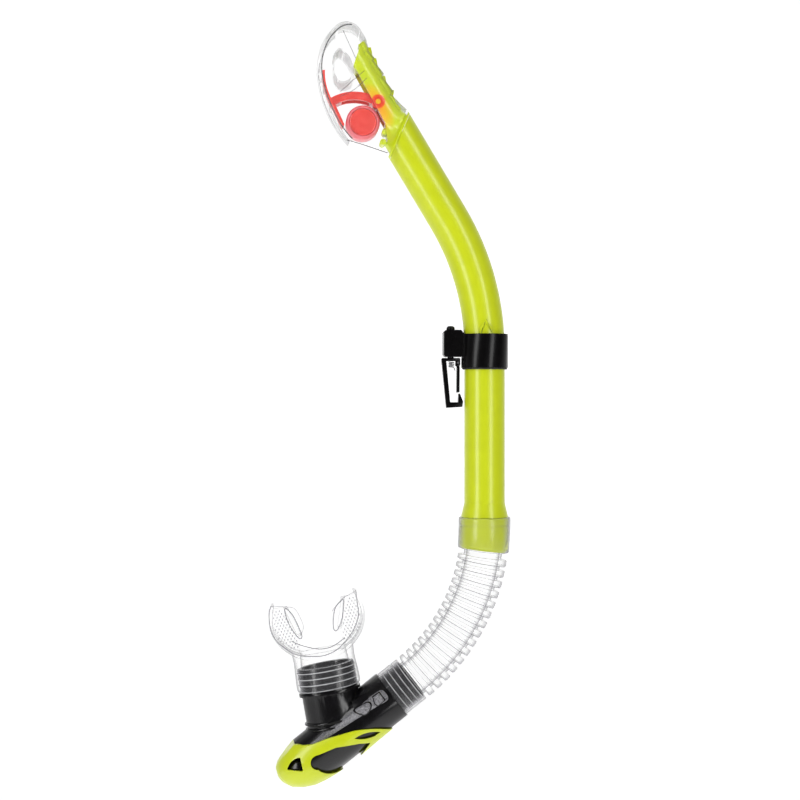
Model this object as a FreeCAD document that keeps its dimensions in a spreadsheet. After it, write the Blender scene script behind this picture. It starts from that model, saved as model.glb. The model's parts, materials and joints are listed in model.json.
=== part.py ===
import FreeCAD, Part
import math
import os
import Sketcher

# A dry-top snorkel. Millimetres, +Z up, +X to the right of the wearer's mask strap hook,
# and the whole tube bends in the XZ plane. The origin is the centre of the window of the
# strap hook, which is where a mask holds the snorkel.

doc = FreeCAD.newDocument("dry_snorkel")
sheet = doc.addObject("Spreadsheet::Sheet", "sizes")

DRIVING_SIZES = [
    ("barrel_x", 19.05, "barrel axis from the strap hook"),
    ("barrel_radius", 12.05, "outside of the barrel"),
    ("bore_radius", 10.6, "breathing bore of the barrel"),
    ("bend_start", 20, "height where the barrel starts to bend"),
    ("bend_radius", 152.6, "centreline radius of the barrel's bend"),
    ("bend_angle", 31, "lean of the top of the barrel"),
    ("top_run", 55.65, "straight run above the bend"),
    ("joint_slope", 0.704, "rise of the slanted joint for each mm across"),
    ("flare_top", 70.5, "depth where the barrel starts to flare"),
    ("flare_bottom", 78.7, "depth of the flare's lip"),
    ("flare_radius", 14.0, "lip of the flare"),
    ("spigot_radius", 13.3, "barrel's spigot inside the hose cuff"),
    ("spigot_angle", 6.6, "how far the spigot follows the hose's bend"),
    ("hose_start", 85.5, "depth where the hose starts to bend"),
    ("hose_bend_radius", 112.7, "centreline radius of the hose's bend"),
    ("hose_angle", 52, "turn of the hose"),
    ("hose_bore", 10.0, "bore of the hose"),
    ("hose_wall", 11.3, "outside of the hose between its ribs"),
    ("cuff_radius", 15.5, "upper cuff of the hose"),
    ("rib_radius", 14.8, "ribs of the hose"),
    ("rib_first", 8.6, "angle of the first rib"),
    ("rib_turn", 1.8, "angle that a rib takes up"),
    ("rib_pitch", 2.9, "angle from rib to rib"),
    ("rib_count", 15, "number of ribs"),
    ("lower_cuff", 14.65, "lower cuff of the hose"),
    ("cuff_run", 15.0, "length of the lower cuff"),
    ("port_radius", 12.3, "chamber's spigot inside the lower cuff"),
    ("chamber_radius", 15.3, "outside of the purge chamber"),
    ("chamber_bore", 13.6, "inside of the purge chamber"),
    ("chamber_length", 62, "length of the chamber's cylinder"),
    ("mouth_at", 40.5, "mouth port's axis, along the chamber"),
    ("mouth_rise", 43.5, "rim of the mouth port above the chamber's axis"),
    ("mouth_lean", 10, "lean of the mouth port"),
    ("mouth_width", 16.8, "half the width of the oval mouth port"),
    ("mouth_depth", 12.4, "half the depth of the oval mouth port"),
    ("guard_depth", 14, "half the depth of the splash guard"),
    ("guard_wall", 1.5, "wall of the splash guard"),
    ("frame_radius", 10.1, "back of the valve frame"),
    ("pivot_across", -1.6, "float pivot, across the valve frame"),
    ("pivot_up", 23.3, "float pivot, above the joint"),
    ("pin_radius", 1.4, "float pivot pin"),
    ("float_across", -15.2, "float's centre, across the frame"),
    ("float_up", 17.7, "float's centre, above the joint"),
    ("float_radius", 10, "float"),
    ("ring_radius", 13.9, "outside of the keeper ring"),
    ("ring_bottom", 9.6, "lower edge of the keeper ring"),
    ("ring_top", 29.6, "upper edge of the keeper ring"),
    ("liner_radius", 12.75, "outside of the keeper's liner"),
    ("block_bottom", 16.0, "underside of the keeper's block"),
    ("block_top", 32.0, "top of the keeper's block"),
    ("stem_across", -1.2, "axis that the hook swivels on, from the window's centre"),
    ("stem_radius", 1.9, "stem that the hook swivels on"),
    ("hook_top", 15.4, "top of the hook"),
    ("hook_half", 1.9, "half the thickness of the hook"),
    ("fit", 0.06, "running clearance of a pin or a ring"),
]


class Size:
    """A size: its value now, and the spreadsheet formula that it is bound to."""

    def __init__(self, value, formula):
        self.value = float(value)
        self.formula = formula

    def __add__(self, other):
        other = as_size(other)
        return Size(self.value + other.value, f"({self.formula} + {other.formula})")

    def __sub__(self, other):
        other = as_size(other)
        return Size(self.value - other.value, f"({self.formula} - {other.formula})")

    def __mul__(self, other):
        other = as_size(other)
        return Size(self.value * other.value, f"({self.formula} * {other.formula})")

    def __neg__(self):
        return Size(-self.value, f"(0 - {self.formula})")


def as_size(number):
    """A plain number as a size, so that the two can be mixed."""
    if isinstance(number, Size):
        return number
    return Size(number, f"({float(number):.4f})")


SIZE = {}
for row, (alias, number, note) in enumerate(DRIVING_SIZES, start=1):
    sheet.set(f"A{row}", alias)
    sheet.set(f"B{row}", str(number))
    sheet.set(f"C{row}", note)
    sheet.setAlias(f"B{row}", alias)
    SIZE[alias] = Size(number, f"sizes.{alias}")
doc.recompute()


def bind(thing, path, size):
    """Ties one property of a feature to the spreadsheet."""
    thing.setExpression(path, as_size(size).formula)


# ---- frames that the pieces are drawn in ------------------------------------------------


def value(alias):
    return SIZE[alias].value


def turned(angle):
    """A turn about Y, in degrees: it tips +Z towards +X."""
    return FreeCAD.Rotation(FreeCAD.Vector(0, 1, 0), angle)


def frame_at(x, z, angle):
    return FreeCAD.Placement(FreeCAD.Vector(x, 0, z), turned(angle))


lean = math.radians(value("bend_angle"))
bend_end_x = value("barrel_x") - value("bend_radius") * (1 - math.cos(lean))
bend_end_z = value("bend_start") + value("bend_radius") * math.sin(lean)
top_x = bend_end_x - value("top_run") * math.sin(lean)
top_z = bend_end_z + value("top_run") * math.cos(lean)
# The dry top's own frame: z runs up the leaning tube and x across it, towards its back.
TOP = frame_at(top_x, top_z, -value("bend_angle"))

fall = math.radians(value("hose_angle"))
hose_centre_x = value("barrel_x") - value("hose_bend_radius")
rim_x = hose_centre_x + value("hose_bend_radius") * math.cos(fall)
rim_z = -value("hose_start") - value("hose_bend_radius") * math.sin(fall)
flange_x = rim_x - value("cuff_run") * math.sin(fall)
flange_z = rim_z - value("cuff_run") * math.cos(fall)
# The chamber's own frame: z runs along it from the hose port to the nose, and x to its top.
CHAMBER = frame_at(flange_x, flange_z, 180 + value("hose_angle"))

port_lean = math.radians(value("mouth_lean"))
mouth_x = flange_x - value("mouth_at") * math.sin(fall) - value("mouth_rise") * math.sin(port_lean)
mouth_z = flange_z - value("mouth_at") * math.cos(fall) + value("mouth_rise") * math.cos(port_lean)
# The mouth port's own frame: z runs out of the port, from its rim.
MOUTH = frame_at(mouth_x, mouth_z, -value("mouth_lean"))
HERE = FreeCAD.Placement()


# ---- drawing helpers --------------------------------------------------------------------


def new_body(name, placement=HERE):
    body = doc.addObject("PartDesign::Body", name)
    body.Label = name
    body.Placement = placement
    return body


def sketch_on(body, name, role, at=(0, 0, 0), turn=None):
    """A sketch on one of the body's own origin planes, moved and turned in that plane."""
    sketch = body.newObject("Sketcher::SketchObject", name)
    plane = next(item for item in body.Origin.OriginFeatures if item.Role == role)
    sketch.AttachmentSupport = [(plane, "")]
    sketch.MapMode = "FlatFace"
    place = [as_size(number) for number in at]
    turn = turn or FreeCAD.Rotation()
    sketch.AttachmentOffset = FreeCAD.Placement(FreeCAD.Vector(*[p.value for p in place]), turn)
    for letter, number in zip("xyz", place):
        if "sizes" in number.formula:
            bind(sketch, f".AttachmentOffset.Base.{letter}", number)
    return sketch


def hold(sketch, kind, places, size):
    """One dimension of a sketch, bound to the spreadsheet when it comes from there."""
    size = as_size(size)
    index = sketch.addConstraint(Sketcher.Constraint(kind, *places, size.value))
    if "sizes" in size.formula:
        sketch.setExpression(f"Constraints[{index}]", size.formula)


def circle(sketch, radius, x=0, y=0):
    radius, x, y = as_size(radius), as_size(x), as_size(y)
    centre = FreeCAD.Vector(x.value, y.value, 0)
    edge = sketch.addGeometry(Part.Circle(centre, FreeCAD.Vector(0, 0, 1), radius.value), False)
    hold(sketch, "Radius", (edge,), radius)
    if x.value or y.value:
        hold(sketch, "DistanceX", (-1, 1, edge, 3), x)
        hold(sketch, "DistanceY", (-1, 1, edge, 3), y)
    else:
        sketch.addConstraint(Sketcher.Constraint("Coincident", edge, 3, -1, 1))


def ring(sketch, outer, inner, x=0, y=0):
    circle(sketch, outer, x, y)
    circle(sketch, inner, x, y)


def polygon(sketch, corners):
    """A closed outline through the corners, each held by its two distances."""
    spots = [(as_size(x), as_size(y)) for x, y in corners]
    vectors = [FreeCAD.Vector(x.value, y.value, 0) for x, y in spots]
    first = None
    last = None
    for start, end in zip(vectors, vectors[1:] + vectors[:1]):
        edge = sketch.addGeometry(Part.LineSegment(start, end), False)
        if last is None:
            first = edge
        else:
            sketch.addConstraint(Sketcher.Constraint("Coincident", last, 2, edge, 1))
        last = edge
    sketch.addConstraint(Sketcher.Constraint("Coincident", last, 2, first, 1))
    for offset, (x, y) in enumerate(spots):
        hold(sketch, "DistanceX", (-1, 1, first + offset, 1), x)
        hold(sketch, "DistanceY", (-1, 1, first + offset, 1), y)


def box_outline(sketch, left, right, bottom, top):
    polygon(sketch, [(left, bottom), (right, bottom), (right, top), (left, top)])


def oval(sketch, width, depth):
    """An oval of two semi-axes, drawn as an ellipse about the sketch's origin."""
    width, depth = as_size(width), as_size(depth)
    long_end = FreeCAD.Vector(width.value, 0, 0)
    short_end = FreeCAD.Vector(0, depth.value, 0)
    curve = Part.Ellipse(long_end, short_end, FreeCAD.Vector(0, 0, 0))
    edge = sketch.addGeometry(curve, False)
    sketch.exposeInternalGeometry(edge)
    sketch.addConstraint(Sketcher.Constraint("Coincident", edge, 3, -1, 1))
    sketch.addConstraint(Sketcher.Constraint("Horizontal", edge + 1))
    hold(sketch, "Distance", (edge + 1,), width * 2)
    hold(sketch, "Distance", (edge + 2,), depth * 2)


def pad(body, sketch, length, both_ways=False, backwards=False):
    feature = body.newObject("PartDesign::Pad", f"{sketch.Name}_pad")
    feature.Profile = sketch
    feature.Length = as_size(length).value
    bind(feature, "Length", length)
    feature.Midplane = both_ways
    feature.Reversed = backwards
    doc.recompute()
    return feature


def cut(feature, body, before):
    """Recomputes a cutting feature and makes sure that it took something away."""
    doc.recompute()
    if body.Shape.Volume >= before - 0.01:
        raise RuntimeError(f"{feature.Name} cuts nothing from {body.Label}")
    return feature


def pocket(body, sketch, length, both_ways=False, backwards=False):
    before = body.Shape.Volume
    feature = body.newObject("PartDesign::Pocket", f"{sketch.Name}_cut")
    feature.Profile = sketch
    feature.Length = as_size(length).value
    bind(feature, "Length", length)
    feature.Midplane = both_ways
    feature.Reversed = backwards
    return cut(feature, body, before)


def revolve(body, sketch, angle=360, backwards=False):
    """Turns a sketch about its own vertical axis."""
    feature = body.newObject("PartDesign::Revolution", f"{sketch.Name}_turn")
    feature.Profile = sketch
    feature.ReferenceAxis = (sketch, ["V_Axis"])
    feature.Angle = as_size(angle).value
    bind(feature, "Angle", angle)
    feature.Reversed = backwards
    doc.recompute()
    return feature


def free_solid(name, shape, placement=HERE):
    """A moulded shape that no sketch feature suits, from Part's own functions."""
    feature = doc.addObject("Part::Feature", name)
    feature.Label = name
    feature.Shape = shape
    feature.Placement = placement
    return feature


def at(across, up, depth=0):
    """A point of an outline in the XZ plane."""
    return FreeCAD.Vector(across, depth, up)


def outline_face(start, *runs):
    """A face in the XZ plane: each run ends at a point, or passes a point on an arc to it."""
    edges = []
    here = at(*start)
    for run in runs:
        if len(run) == 2 and isinstance(run[0], tuple):
            through, end = at(*run[0]), at(*run[1])
            edges.append(Part.Arc(here, through, end).toShape())
        else:
            end = at(*run)
            edges.append(Part.LineSegment(here, end).toShape())
        here = end
    if (here - at(*start)).Length > 1e-6:
        edges.append(Part.LineSegment(here, at(*start)).toShape())
    return Part.Face(Part.Wire(edges))


def slab(face, half_depth):
    """A face of the XZ plane made solid, as far to the front as to the back."""
    moved = face.copy()
    moved.translate(FreeCAD.Vector(0, -half_depth, 0))
    return moved.extrude(FreeCAD.Vector(0, 2 * half_depth, 0))


def cross_pin(radius, across, up, half_length):
    """A cylinder along Y."""
    foot = at(across, up, -half_length)
    return Part.makeCylinder(radius, 2 * half_length, foot, FreeCAD.Vector(0, 1, 0))


s = SIZE


# ---- barrel -----------------------------------------------------------------------------


def barrel_tube():
    """The rigid tube: straight, bent to lean, cut to the slanted joint, flared below."""
    body = new_body("barrel_tube")
    sketch = sketch_on(body, "straight_wall", "XY_Plane", (s["barrel_x"], 0, -s["hose_start"]))
    ring(sketch, s["barrel_radius"], s["bore_radius"])
    pad(body, sketch, s["hose_start"] + s["bend_start"])

    bend_centre = s["barrel_x"] - s["bend_radius"]
    sketch = sketch_on(body, "bend_wall", "XY_Plane", (bend_centre, 0, s["bend_start"]))
    ring(sketch, s["barrel_radius"], s["bore_radius"], s["bend_radius"])
    revolve(body, sketch, s["bend_angle"], backwards=True)

    lean_turn = turned(-value("bend_angle"))
    sketch = sketch_on(body, "top_wall", "XY_Plane", (bend_end_x, 0, bend_end_z), lean_turn)
    ring(sketch, s["barrel_radius"], s["bore_radius"])
    pad(body, sketch, s["top_run"] + 9.5)

    in_plane = FreeCAD.Rotation(FreeCAD.Vector(0, 0, 1), value("bend_angle"))
    sketch = sketch_on(body, "slanted_joint", "XZ_Plane", (top_x, top_z, 0), in_plane)
    reach = 16
    rise = s["joint_slope"] * reach
    polygon(sketch, [(-reach, -rise), (reach, rise), (reach, 40), (-reach, 40)])
    pocket(body, sketch, 40, both_ways=True)

    sketch = sketch_on(body, "flare", "XZ_Plane", (s["barrel_x"], 0, 0))
    polygon(sketch, [
        (s["bore_radius"], -s["flare_top"]),
        (s["barrel_radius"], -s["flare_top"]),
        (s["flare_radius"], -s["flare_bottom"]),
        (s["spigot_radius"], -s["flare_bottom"]),
        (s["spigot_radius"], -s["hose_start"]),
        (s["bore_radius"], -s["hose_start"]),
    ])
    revolve(body, sketch)

    hose_centre = s["barrel_x"] - s["hose_bend_radius"]
    sketch = sketch_on(body, "bent_spigot", "XY_Plane", (hose_centre, 0, -s["hose_start"]))
    ring(sketch, s["spigot_radius"], s["bore_radius"], s["hose_bend_radius"])
    revolve(body, sketch, s["spigot_angle"])

    # A small raised arrowhead above the keeper marks how high it is set.
    mark_depth = s["barrel_radius"] + 0.6
    sketch = sketch_on(body, "height_mark", "XZ_Plane", (18.3, 34.5, mark_depth))
    polygon(sketch, [(0, 3.4), (3.9, -1.9), (2.9, -2.6), (0, 1.5), (-2.9, -3.4), (-3.9, -2.7)])
    pad(body, sketch, 1.4, backwards=True)
    return body


def top_frame():
    """The valve frame: collar on the barrel, closed duct at the back, open channel in front."""
    body = new_body("top_frame", TOP)
    sketch = sketch_on(body, "collar_wall", "XY_Plane", (0, 0, -10))
    circle(sketch, s["barrel_radius"])
    pad(body, sketch, 22)
    reach = 16
    rise = s["joint_slope"] * reach
    collar_height = 1.8
    sketch = sketch_on(body, "collar_trim", "XZ_Plane")
    polygon(sketch, [(-reach, -rise + collar_height), (reach, rise + collar_height), (reach, 40),
                     (-reach, 40)])
    pocket(body, sketch, 40, both_ways=True)
    sketch = sketch_on(body, "back_wall", "XY_Plane", (0, 0, -10))
    circle(sketch, s["frame_radius"])
    pad(body, sketch, 70)

    # The side view trims the blank: slanted joint, shoulder, open front and sloping roof.
    gap = 0.15
    sketch = sketch_on(body, "joint_trim", "XZ_Plane")
    polygon(sketch, [(-reach, -rise + gap), (reach, rise + gap), (reach, -30), (-reach, -30)])
    pocket(body, sketch, 40, both_ways=True)
    sketch = sketch_on(body, "front_trim", "XZ_Plane")
    polygon(sketch, [(-16, -8.2), (-11.6, -6.4), (-4.5, 9.4), (-3.0, 48.9), (9.2, 59.3),
                     (13, 61), (-16, 61)])
    pocket(body, sketch, 40, both_ways=True)

    # The spigot that is pressed into the barrel.
    sketch = sketch_on(body, "spigot", "XY_Plane", (0, 0, -17))
    circle(sketch, s["bore_radius"] - 0.15)
    pad(body, sketch, 18)
    sketch = sketch_on(body, "spigot_bore", "XY_Plane", (0, 0, -17))
    circle(sketch, 9.2)
    pocket(body, sketch, 11, backwards=True)
    sketch = sketch_on(body, "throat", "XZ_Plane")
    polygon(sketch, [(-7.2, -8), (-6.2, -3.5), (-1.2, 7.2), (3.8, 11), (7.4, 11), (7.4, -8)])
    pocket(body, sketch, 12, both_ways=True)
    sketch = sketch_on(body, "duct", "XY_Plane", (0, 0, -8))
    polygon(sketch, [(5.6, -5.8), (7.6, -3.4), (8.4, 0), (7.6, 3.4), (5.6, 5.8)])
    pocket(body, sketch, 52, backwards=True)

    # The channel that the lever works in, and the seat in its back wall.
    sketch = sketch_on(body, "channel", "XZ_Plane")
    polygon(sketch, [(-12, 10.5), (0.8, 10.5), (2.5, 24), (5.0, 38.5), (5.0, 45.5), (-12, 45.5)])
    pocket(body, sketch, 16.4, both_ways=True)
    sketch = sketch_on(body, "seat_window", "YZ_Plane", (0, 0, 1))
    box_outline(sketch, -4.4, 4.4, 28, 37)
    pocket(body, sketch, 6, backwards=True)

    # Steps down the back, where the guard's back edge clips on.
    for number, up in enumerate((48.0, 35.6, 24.4), start=1):
        sketch = sketch_on(body, f"clip_step_{number}", "XZ_Plane")
        polygon(sketch, [(8.7, up), (12, up - 1.4), (12, up + 4.4), (9.6, up + 4.2)])
        pocket(body, sketch, 30, both_ways=True)

    # Two round pegs on the shoulder, which the float rests beside.
    for number, (across, up) in enumerate(((-6.6, 6.6), (-10.8, 1.9)), start=1):
        sketch = sketch_on(body, f"peg_{number}", "XZ_Plane", (across, up, 0))
        circle(sketch, 1.8)
        pad(body, sketch, 13, both_ways=True)

    # Holes that the pivot pin is pressed into.
    sketch = sketch_on(body, "pivot_hole", "XZ_Plane")
    circle(sketch, s["pin_radius"], s["pivot_across"], s["pivot_up"])
    pocket(body, sketch, 30, both_ways=True)
    return body


def pivot_pin():
    body = new_body("pivot_pin", TOP)
    sketch = sketch_on(body, "pin_end", "XZ_Plane")
    circle(sketch, s["pin_radius"], s["pivot_across"], s["pivot_up"])
    pad(body, sketch, 19.6, both_ways=True)
    return body


def guard_outline(inset, back, drop):
    """The guard seen from the side: rounded front and crown, straight back, open below."""
    return outline_face(
        (-28.6 + inset, 12.6 - drop),
        ((-29.9 + inset, 29.0), (-23.6 + inset, 55.6 - inset * 0.4)),
        ((-14.4 + inset * 0.7, 67.5 - inset * 0.7), (0.5, 74.0 - inset)),
        ((back - 2.2, 70.6 - inset), (back, 64.0 - inset)),
        (back, 11.0 - drop),
        (-12.9, -6.2 - drop),
    )


def guard_cover():
    """The clear splash guard: a thin shell, open below, with an eyelet through its crown."""
    depth = value("guard_depth")
    wall = value("guard_wall")

    blank = slab(guard_outline(0, 11.2, 0), depth)
    rims = [edge for edge in blank.Edges if edge.BoundBox.YLength < 0.01 and edge.BoundBox.ZMax > 20]
    outer = blank.makeFillet(4.0, rims)
    inner = slab(guard_outline(wall, 10.4, 6), depth - wall)
    eye = outline_face((-5.8, 60.2), ((-4.2, 54.5), (-5.4, 47.2)), ((-9.6, 42.8), (-15.2, 44.6)),
                       ((-15.5, 49.0), (-13.6, 53.2)), ((-10.4, 58.0), (-5.8, 60.2)))
    eye_rim = slab(eye.makeOffset2D(1.2), depth - 1.0)
    shell = outer.cut(inner).fuse(eye_rim.common(outer)).cut(slab(eye, depth + 2))
    return free_solid("guard_cover", shell.removeSplitter(), TOP)


def float_arm():
    """The lever: hub on the pin, two bowed arms, the long front blade and the valve carrier."""
    across, up = value("pivot_across"), value("pivot_up")
    width = 4.6
    bow = Part.Arc(at(across, up), at(-11.4, 33.6), at(-24.6, 37.2)).toShape().Curve
    centre, radius = bow.Center, bow.Radius

    def bow_point(angle, reach):
        angle = math.radians(angle)
        return at(centre.x + reach * math.cos(angle), centre.z + reach * math.sin(angle))

    def bearing(point):
        return math.degrees(math.atan2(point.z - centre.z, point.x - centre.x))

    start, end = bearing(at(across, up)), bearing(at(-24.6, 37.2))
    middle = (start + end) / 2
    near, far = radius - width / 2, radius + width / 2
    edges = [
        Part.Arc(*[bow_point(a, far) for a in (start, middle, end)]).toShape(),
        Part.LineSegment(bow_point(end, far), bow_point(end, near)).toShape(),
        Part.Arc(*[bow_point(a, near) for a in (end, middle, start)]).toShape(),
        Part.LineSegment(bow_point(start, near), bow_point(start, far)).toShape(),
    ]
    arms = slab(Part.Face(Part.Wire(edges)), 7.2)
    slot = Part.makeBox(14.0, 8.8, 30, at(-19.6, 20, -4.4))
    blade_face = outline_face((-18.7, 55.2), ((-22.9, 46.0), (-24.0, 34.0)), (-25.3, 22.0),
                              (-26.8, 22.0), (-25.6, 34.0), ((-24.5, 46.0), (-20.0, 55.8)))
    blade = slab(blade_face, 7.8)
    hub = cross_pin(3.6, across, up, 7.7)
    carrier = slab(outline_face((-1.6, 24.0), (0.6, 24.0), (0.6, 40.4), (-0.9, 40.4)), 6.4)
    tail = slab(outline_face((-3.3, 11.2), (-1.7, 11.2), (-1.0, 22.0), (-2.9, 22.0)), 6.4)
    lever = arms.cut(slot).fuse([hub, blade, carrier, tail])
    lever = lever.cut(cross_pin(value("pin_radius") + value("fit"), across, up, 12))
    return free_solid("float_arm", lever.removeSplitter(), TOP)


def valve_seal():
    """The soft flap on the lever's carrier, which closes the seat when the float rises."""
    body = new_body("valve_seal", TOP)
    sketch = sketch_on(body, "flap", "YZ_Plane", (0, 0, 0.6))
    box_outline(sketch, -6.2, 6.2, 26.6, 40.2)
    pad(body, sketch, 0.9)
    return body


def float_shell():
    """The hollow float: a rounded drum, open on the near side for its welded cap."""
    body = new_body("float_shell", TOP)
    radius = s["float_radius"]
    place = (s["float_across"], 0, s["float_up"])
    sketch = sketch_on(body, "drum", "XY_Plane", place)
    polygon(sketch, [
        (radius - 1.9, -7.8), (radius - 0.8, -7.4), (radius, -6.0), (radius, 6.0),
        (radius - 0.8, 7.4), (radius - 2.0, 7.8), (0, 7.8), (0, 6.8),
        (radius - 2.4, 6.8), (radius - 1.0, 5.6), (radius - 1.0, -5.6), (radius - 1.9, -6.4),
    ])
    revolve(body, sketch)
    return body


def float_cap():
    body = new_body("float_cap", TOP)
    place = (s["float_across"], 0, s["float_up"])
    sketch = sketch_on(body, "disc", "XY_Plane", place)
    rim = s["float_radius"] - 2.0
    polygon(sketch, [(0, -8.1), (rim - 0.5, -8.1), (rim, -7.6), (rim, -6.7), (0, -6.7)])
    revolve(body, sketch)
    return body


# ---- strap keeper and hook --------------------------------------------------------------


def keeper_liner():
    """The soft sleeve that grips the barrel, with a lip that carries the ring."""
    body = new_body("keeper_liner")
    sketch = sketch_on(body, "sleeve", "XZ_Plane", (s["barrel_x"], 0, 0))
    inner = s["barrel_radius"] + 0.08
    low = s["ring_bottom"] - 1.0
    lip = s["ring_radius"] - 0.5
    polygon(sketch, [
        (inner, low), (lip - 0.3, low), (lip, low + 0.4),
        (lip, s["ring_bottom"] - 0.1), (s["liner_radius"], s["ring_bottom"] - 0.1),
        (s["liner_radius"], 20), (inner, 20),
    ])
    revolve(body, sketch)
    return body


def keeper_ring():
    """The rigid ring that turns on the liner, and the block that carries the hook."""
    body = new_body("keeper_ring")
    block_half = 5.2
    sketch = sketch_on(body, "block", "XZ_Plane")
    polygon(sketch, [
        (-5.7, s["block_bottom"] + 1.0), (-4.6, s["block_bottom"]), (8, s["block_bottom"]),
        (9.5, s["ring_top"]), (6.6, s["ring_top"]), (4.6, s["block_top"]),
        (-4.4, s["block_top"]), (-5.7, s["block_top"] - 1.4),
    ])
    pad(body, sketch, 2 * block_half, both_ways=True)
    sketch = sketch_on(body, "ring_wall", "XY_Plane", (s["barrel_x"], 0, s["ring_bottom"]))
    circle(sketch, s["ring_radius"])
    pad(body, sketch, s["ring_top"] - s["ring_bottom"])
    sketch = sketch_on(body, "ring_bore", "XY_Plane", (s["barrel_x"], 0, s["ring_bottom"]))
    circle(sketch, s["liner_radius"] + s["fit"])
    pocket(body, sketch, 40, backwards=True)
    sketch = sketch_on(body, "stem_hole", "XY_Plane", (s["stem_across"], 0, 10))
    circle(sketch, s["stem_radius"] + s["fit"])
    pocket(body, sketch, 40, backwards=True)
    return body


def swivel_stem():
    """The headed stem that the hook hangs and turns on."""
    body = new_body("swivel_stem")
    sketch = sketch_on(body, "stem_profile", "XZ_Plane", (s["stem_across"], 0, 0))
    head_bottom = s["block_top"] + 0.2
    polygon(sketch, [
        (0, 13.5), (1.2, 13.5), (1.2, s["hook_top"]), (s["stem_radius"], s["hook_top"]),
        (s["stem_radius"], head_bottom),
        (2.5, head_bottom), (2.5, head_bottom + 1.3), (1.6, head_bottom + 2.1),
        (0, head_bottom + 2.3),
    ])
    revolve(body, sketch)
    return body


def hook_frame():
    """The open hook: top bar with a fork for the gate, slanted back bar and turned-up nose."""
    body = new_body("hook_frame")
    top = s["hook_top"]
    sketch = sketch_on(body, "hook_outline", "XZ_Plane")
    polygon(sketch, [
        (-6.3, top), (4.0, top), (4.4, 14.8), (4.4, 11.3), (3.8, 10.6), (1.7, 10.6),
        (1.7, 13.5), (-3.9, 13.5), (-1.6, -10.8), (3.1, -10.8), (3.3, -5.9), (4.2, -5.6),
        (6.1, -10.4), (5.6, -13.6), (-3.9, -14.2), (-6.8, 14.6),
    ])
    pad(body, sketch, s["hook_half"] * 2, both_ways=True)
    sketch = sketch_on(body, "gate_slot", "XZ_Plane")
    box_outline(sketch, 1.65, 6, 9, 14.2)
    pocket(body, sketch, 2.3, both_ways=True)
    sketch = sketch_on(body, "gate_pin_hole", "XZ_Plane")
    circle(sketch, 0.6, 3.0, 12.6)
    pocket(body, sketch, 8, both_ways=True)
    sketch = sketch_on(body, "stem_socket", "XY_Plane", (s["stem_across"], 0, 13.5))
    circle(sketch, 1.2)
    pocket(body, sketch, 6, backwards=True)
    return body


def hook_gate():
    """The sprung gate: an eye on the gate pin, and a bar that closes on the nose."""
    body = new_body("hook_gate")
    sketch = sketch_on(body, "gate_eye", "XZ_Plane")
    polygon(sketch, [(2.3, 9.8), (4.1, 9.8), (4.2, 12.6), (3.6, 13.8), (2.4, 13.8), (1.8, 12.6)])
    pad(body, sketch, 1.9, both_ways=True)
    sketch = sketch_on(body, "gate_bar", "XZ_Plane")
    polygon(sketch, [(2.2, -5.2), (4.0, -4.9), (4.1, 9.8), (2.3, 9.8)])
    pad(body, sketch, 3.4, both_ways=True)
    sketch = sketch_on(body, "gate_hole", "XZ_Plane")
    circle(sketch, s["fit"] + 0.6, 3.0, 12.6)
    pocket(body, sketch, 8, both_ways=True)
    return body


def gate_pin():
    body = new_body("gate_pin")
    sketch = sketch_on(body, "pin_section", "XZ_Plane")
    circle(sketch, 0.6, 3.0, 12.6)
    pad(body, sketch, 4.4, both_ways=True)
    return body


def gate_spring():
    """The small coil beside the gate, with a straight leg that pushes the gate shut."""
    wire, coil, pitch, turns = 0.28, 1.5, 0.95, 3.5
    foot = at(-0.75, 9.8)
    helix = Part.makeHelix(pitch, pitch * turns, coil)
    section = Part.Wire([Part.makeCircle(wire, at(coil, 0), FreeCAD.Vector(0, 1, 0))])
    spring = Part.Wire(helix).makePipeShell([section], True, True)
    spring.translate(foot)
    leg = Part.makeCylinder(wire, 2.2, foot + at(coil, 0), FreeCAD.Vector(0.35, 0, -1))
    return free_solid("gate_spring", spring.fuse(leg).removeSplitter())


# ---- hose -------------------------------------------------------------------------------


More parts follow.
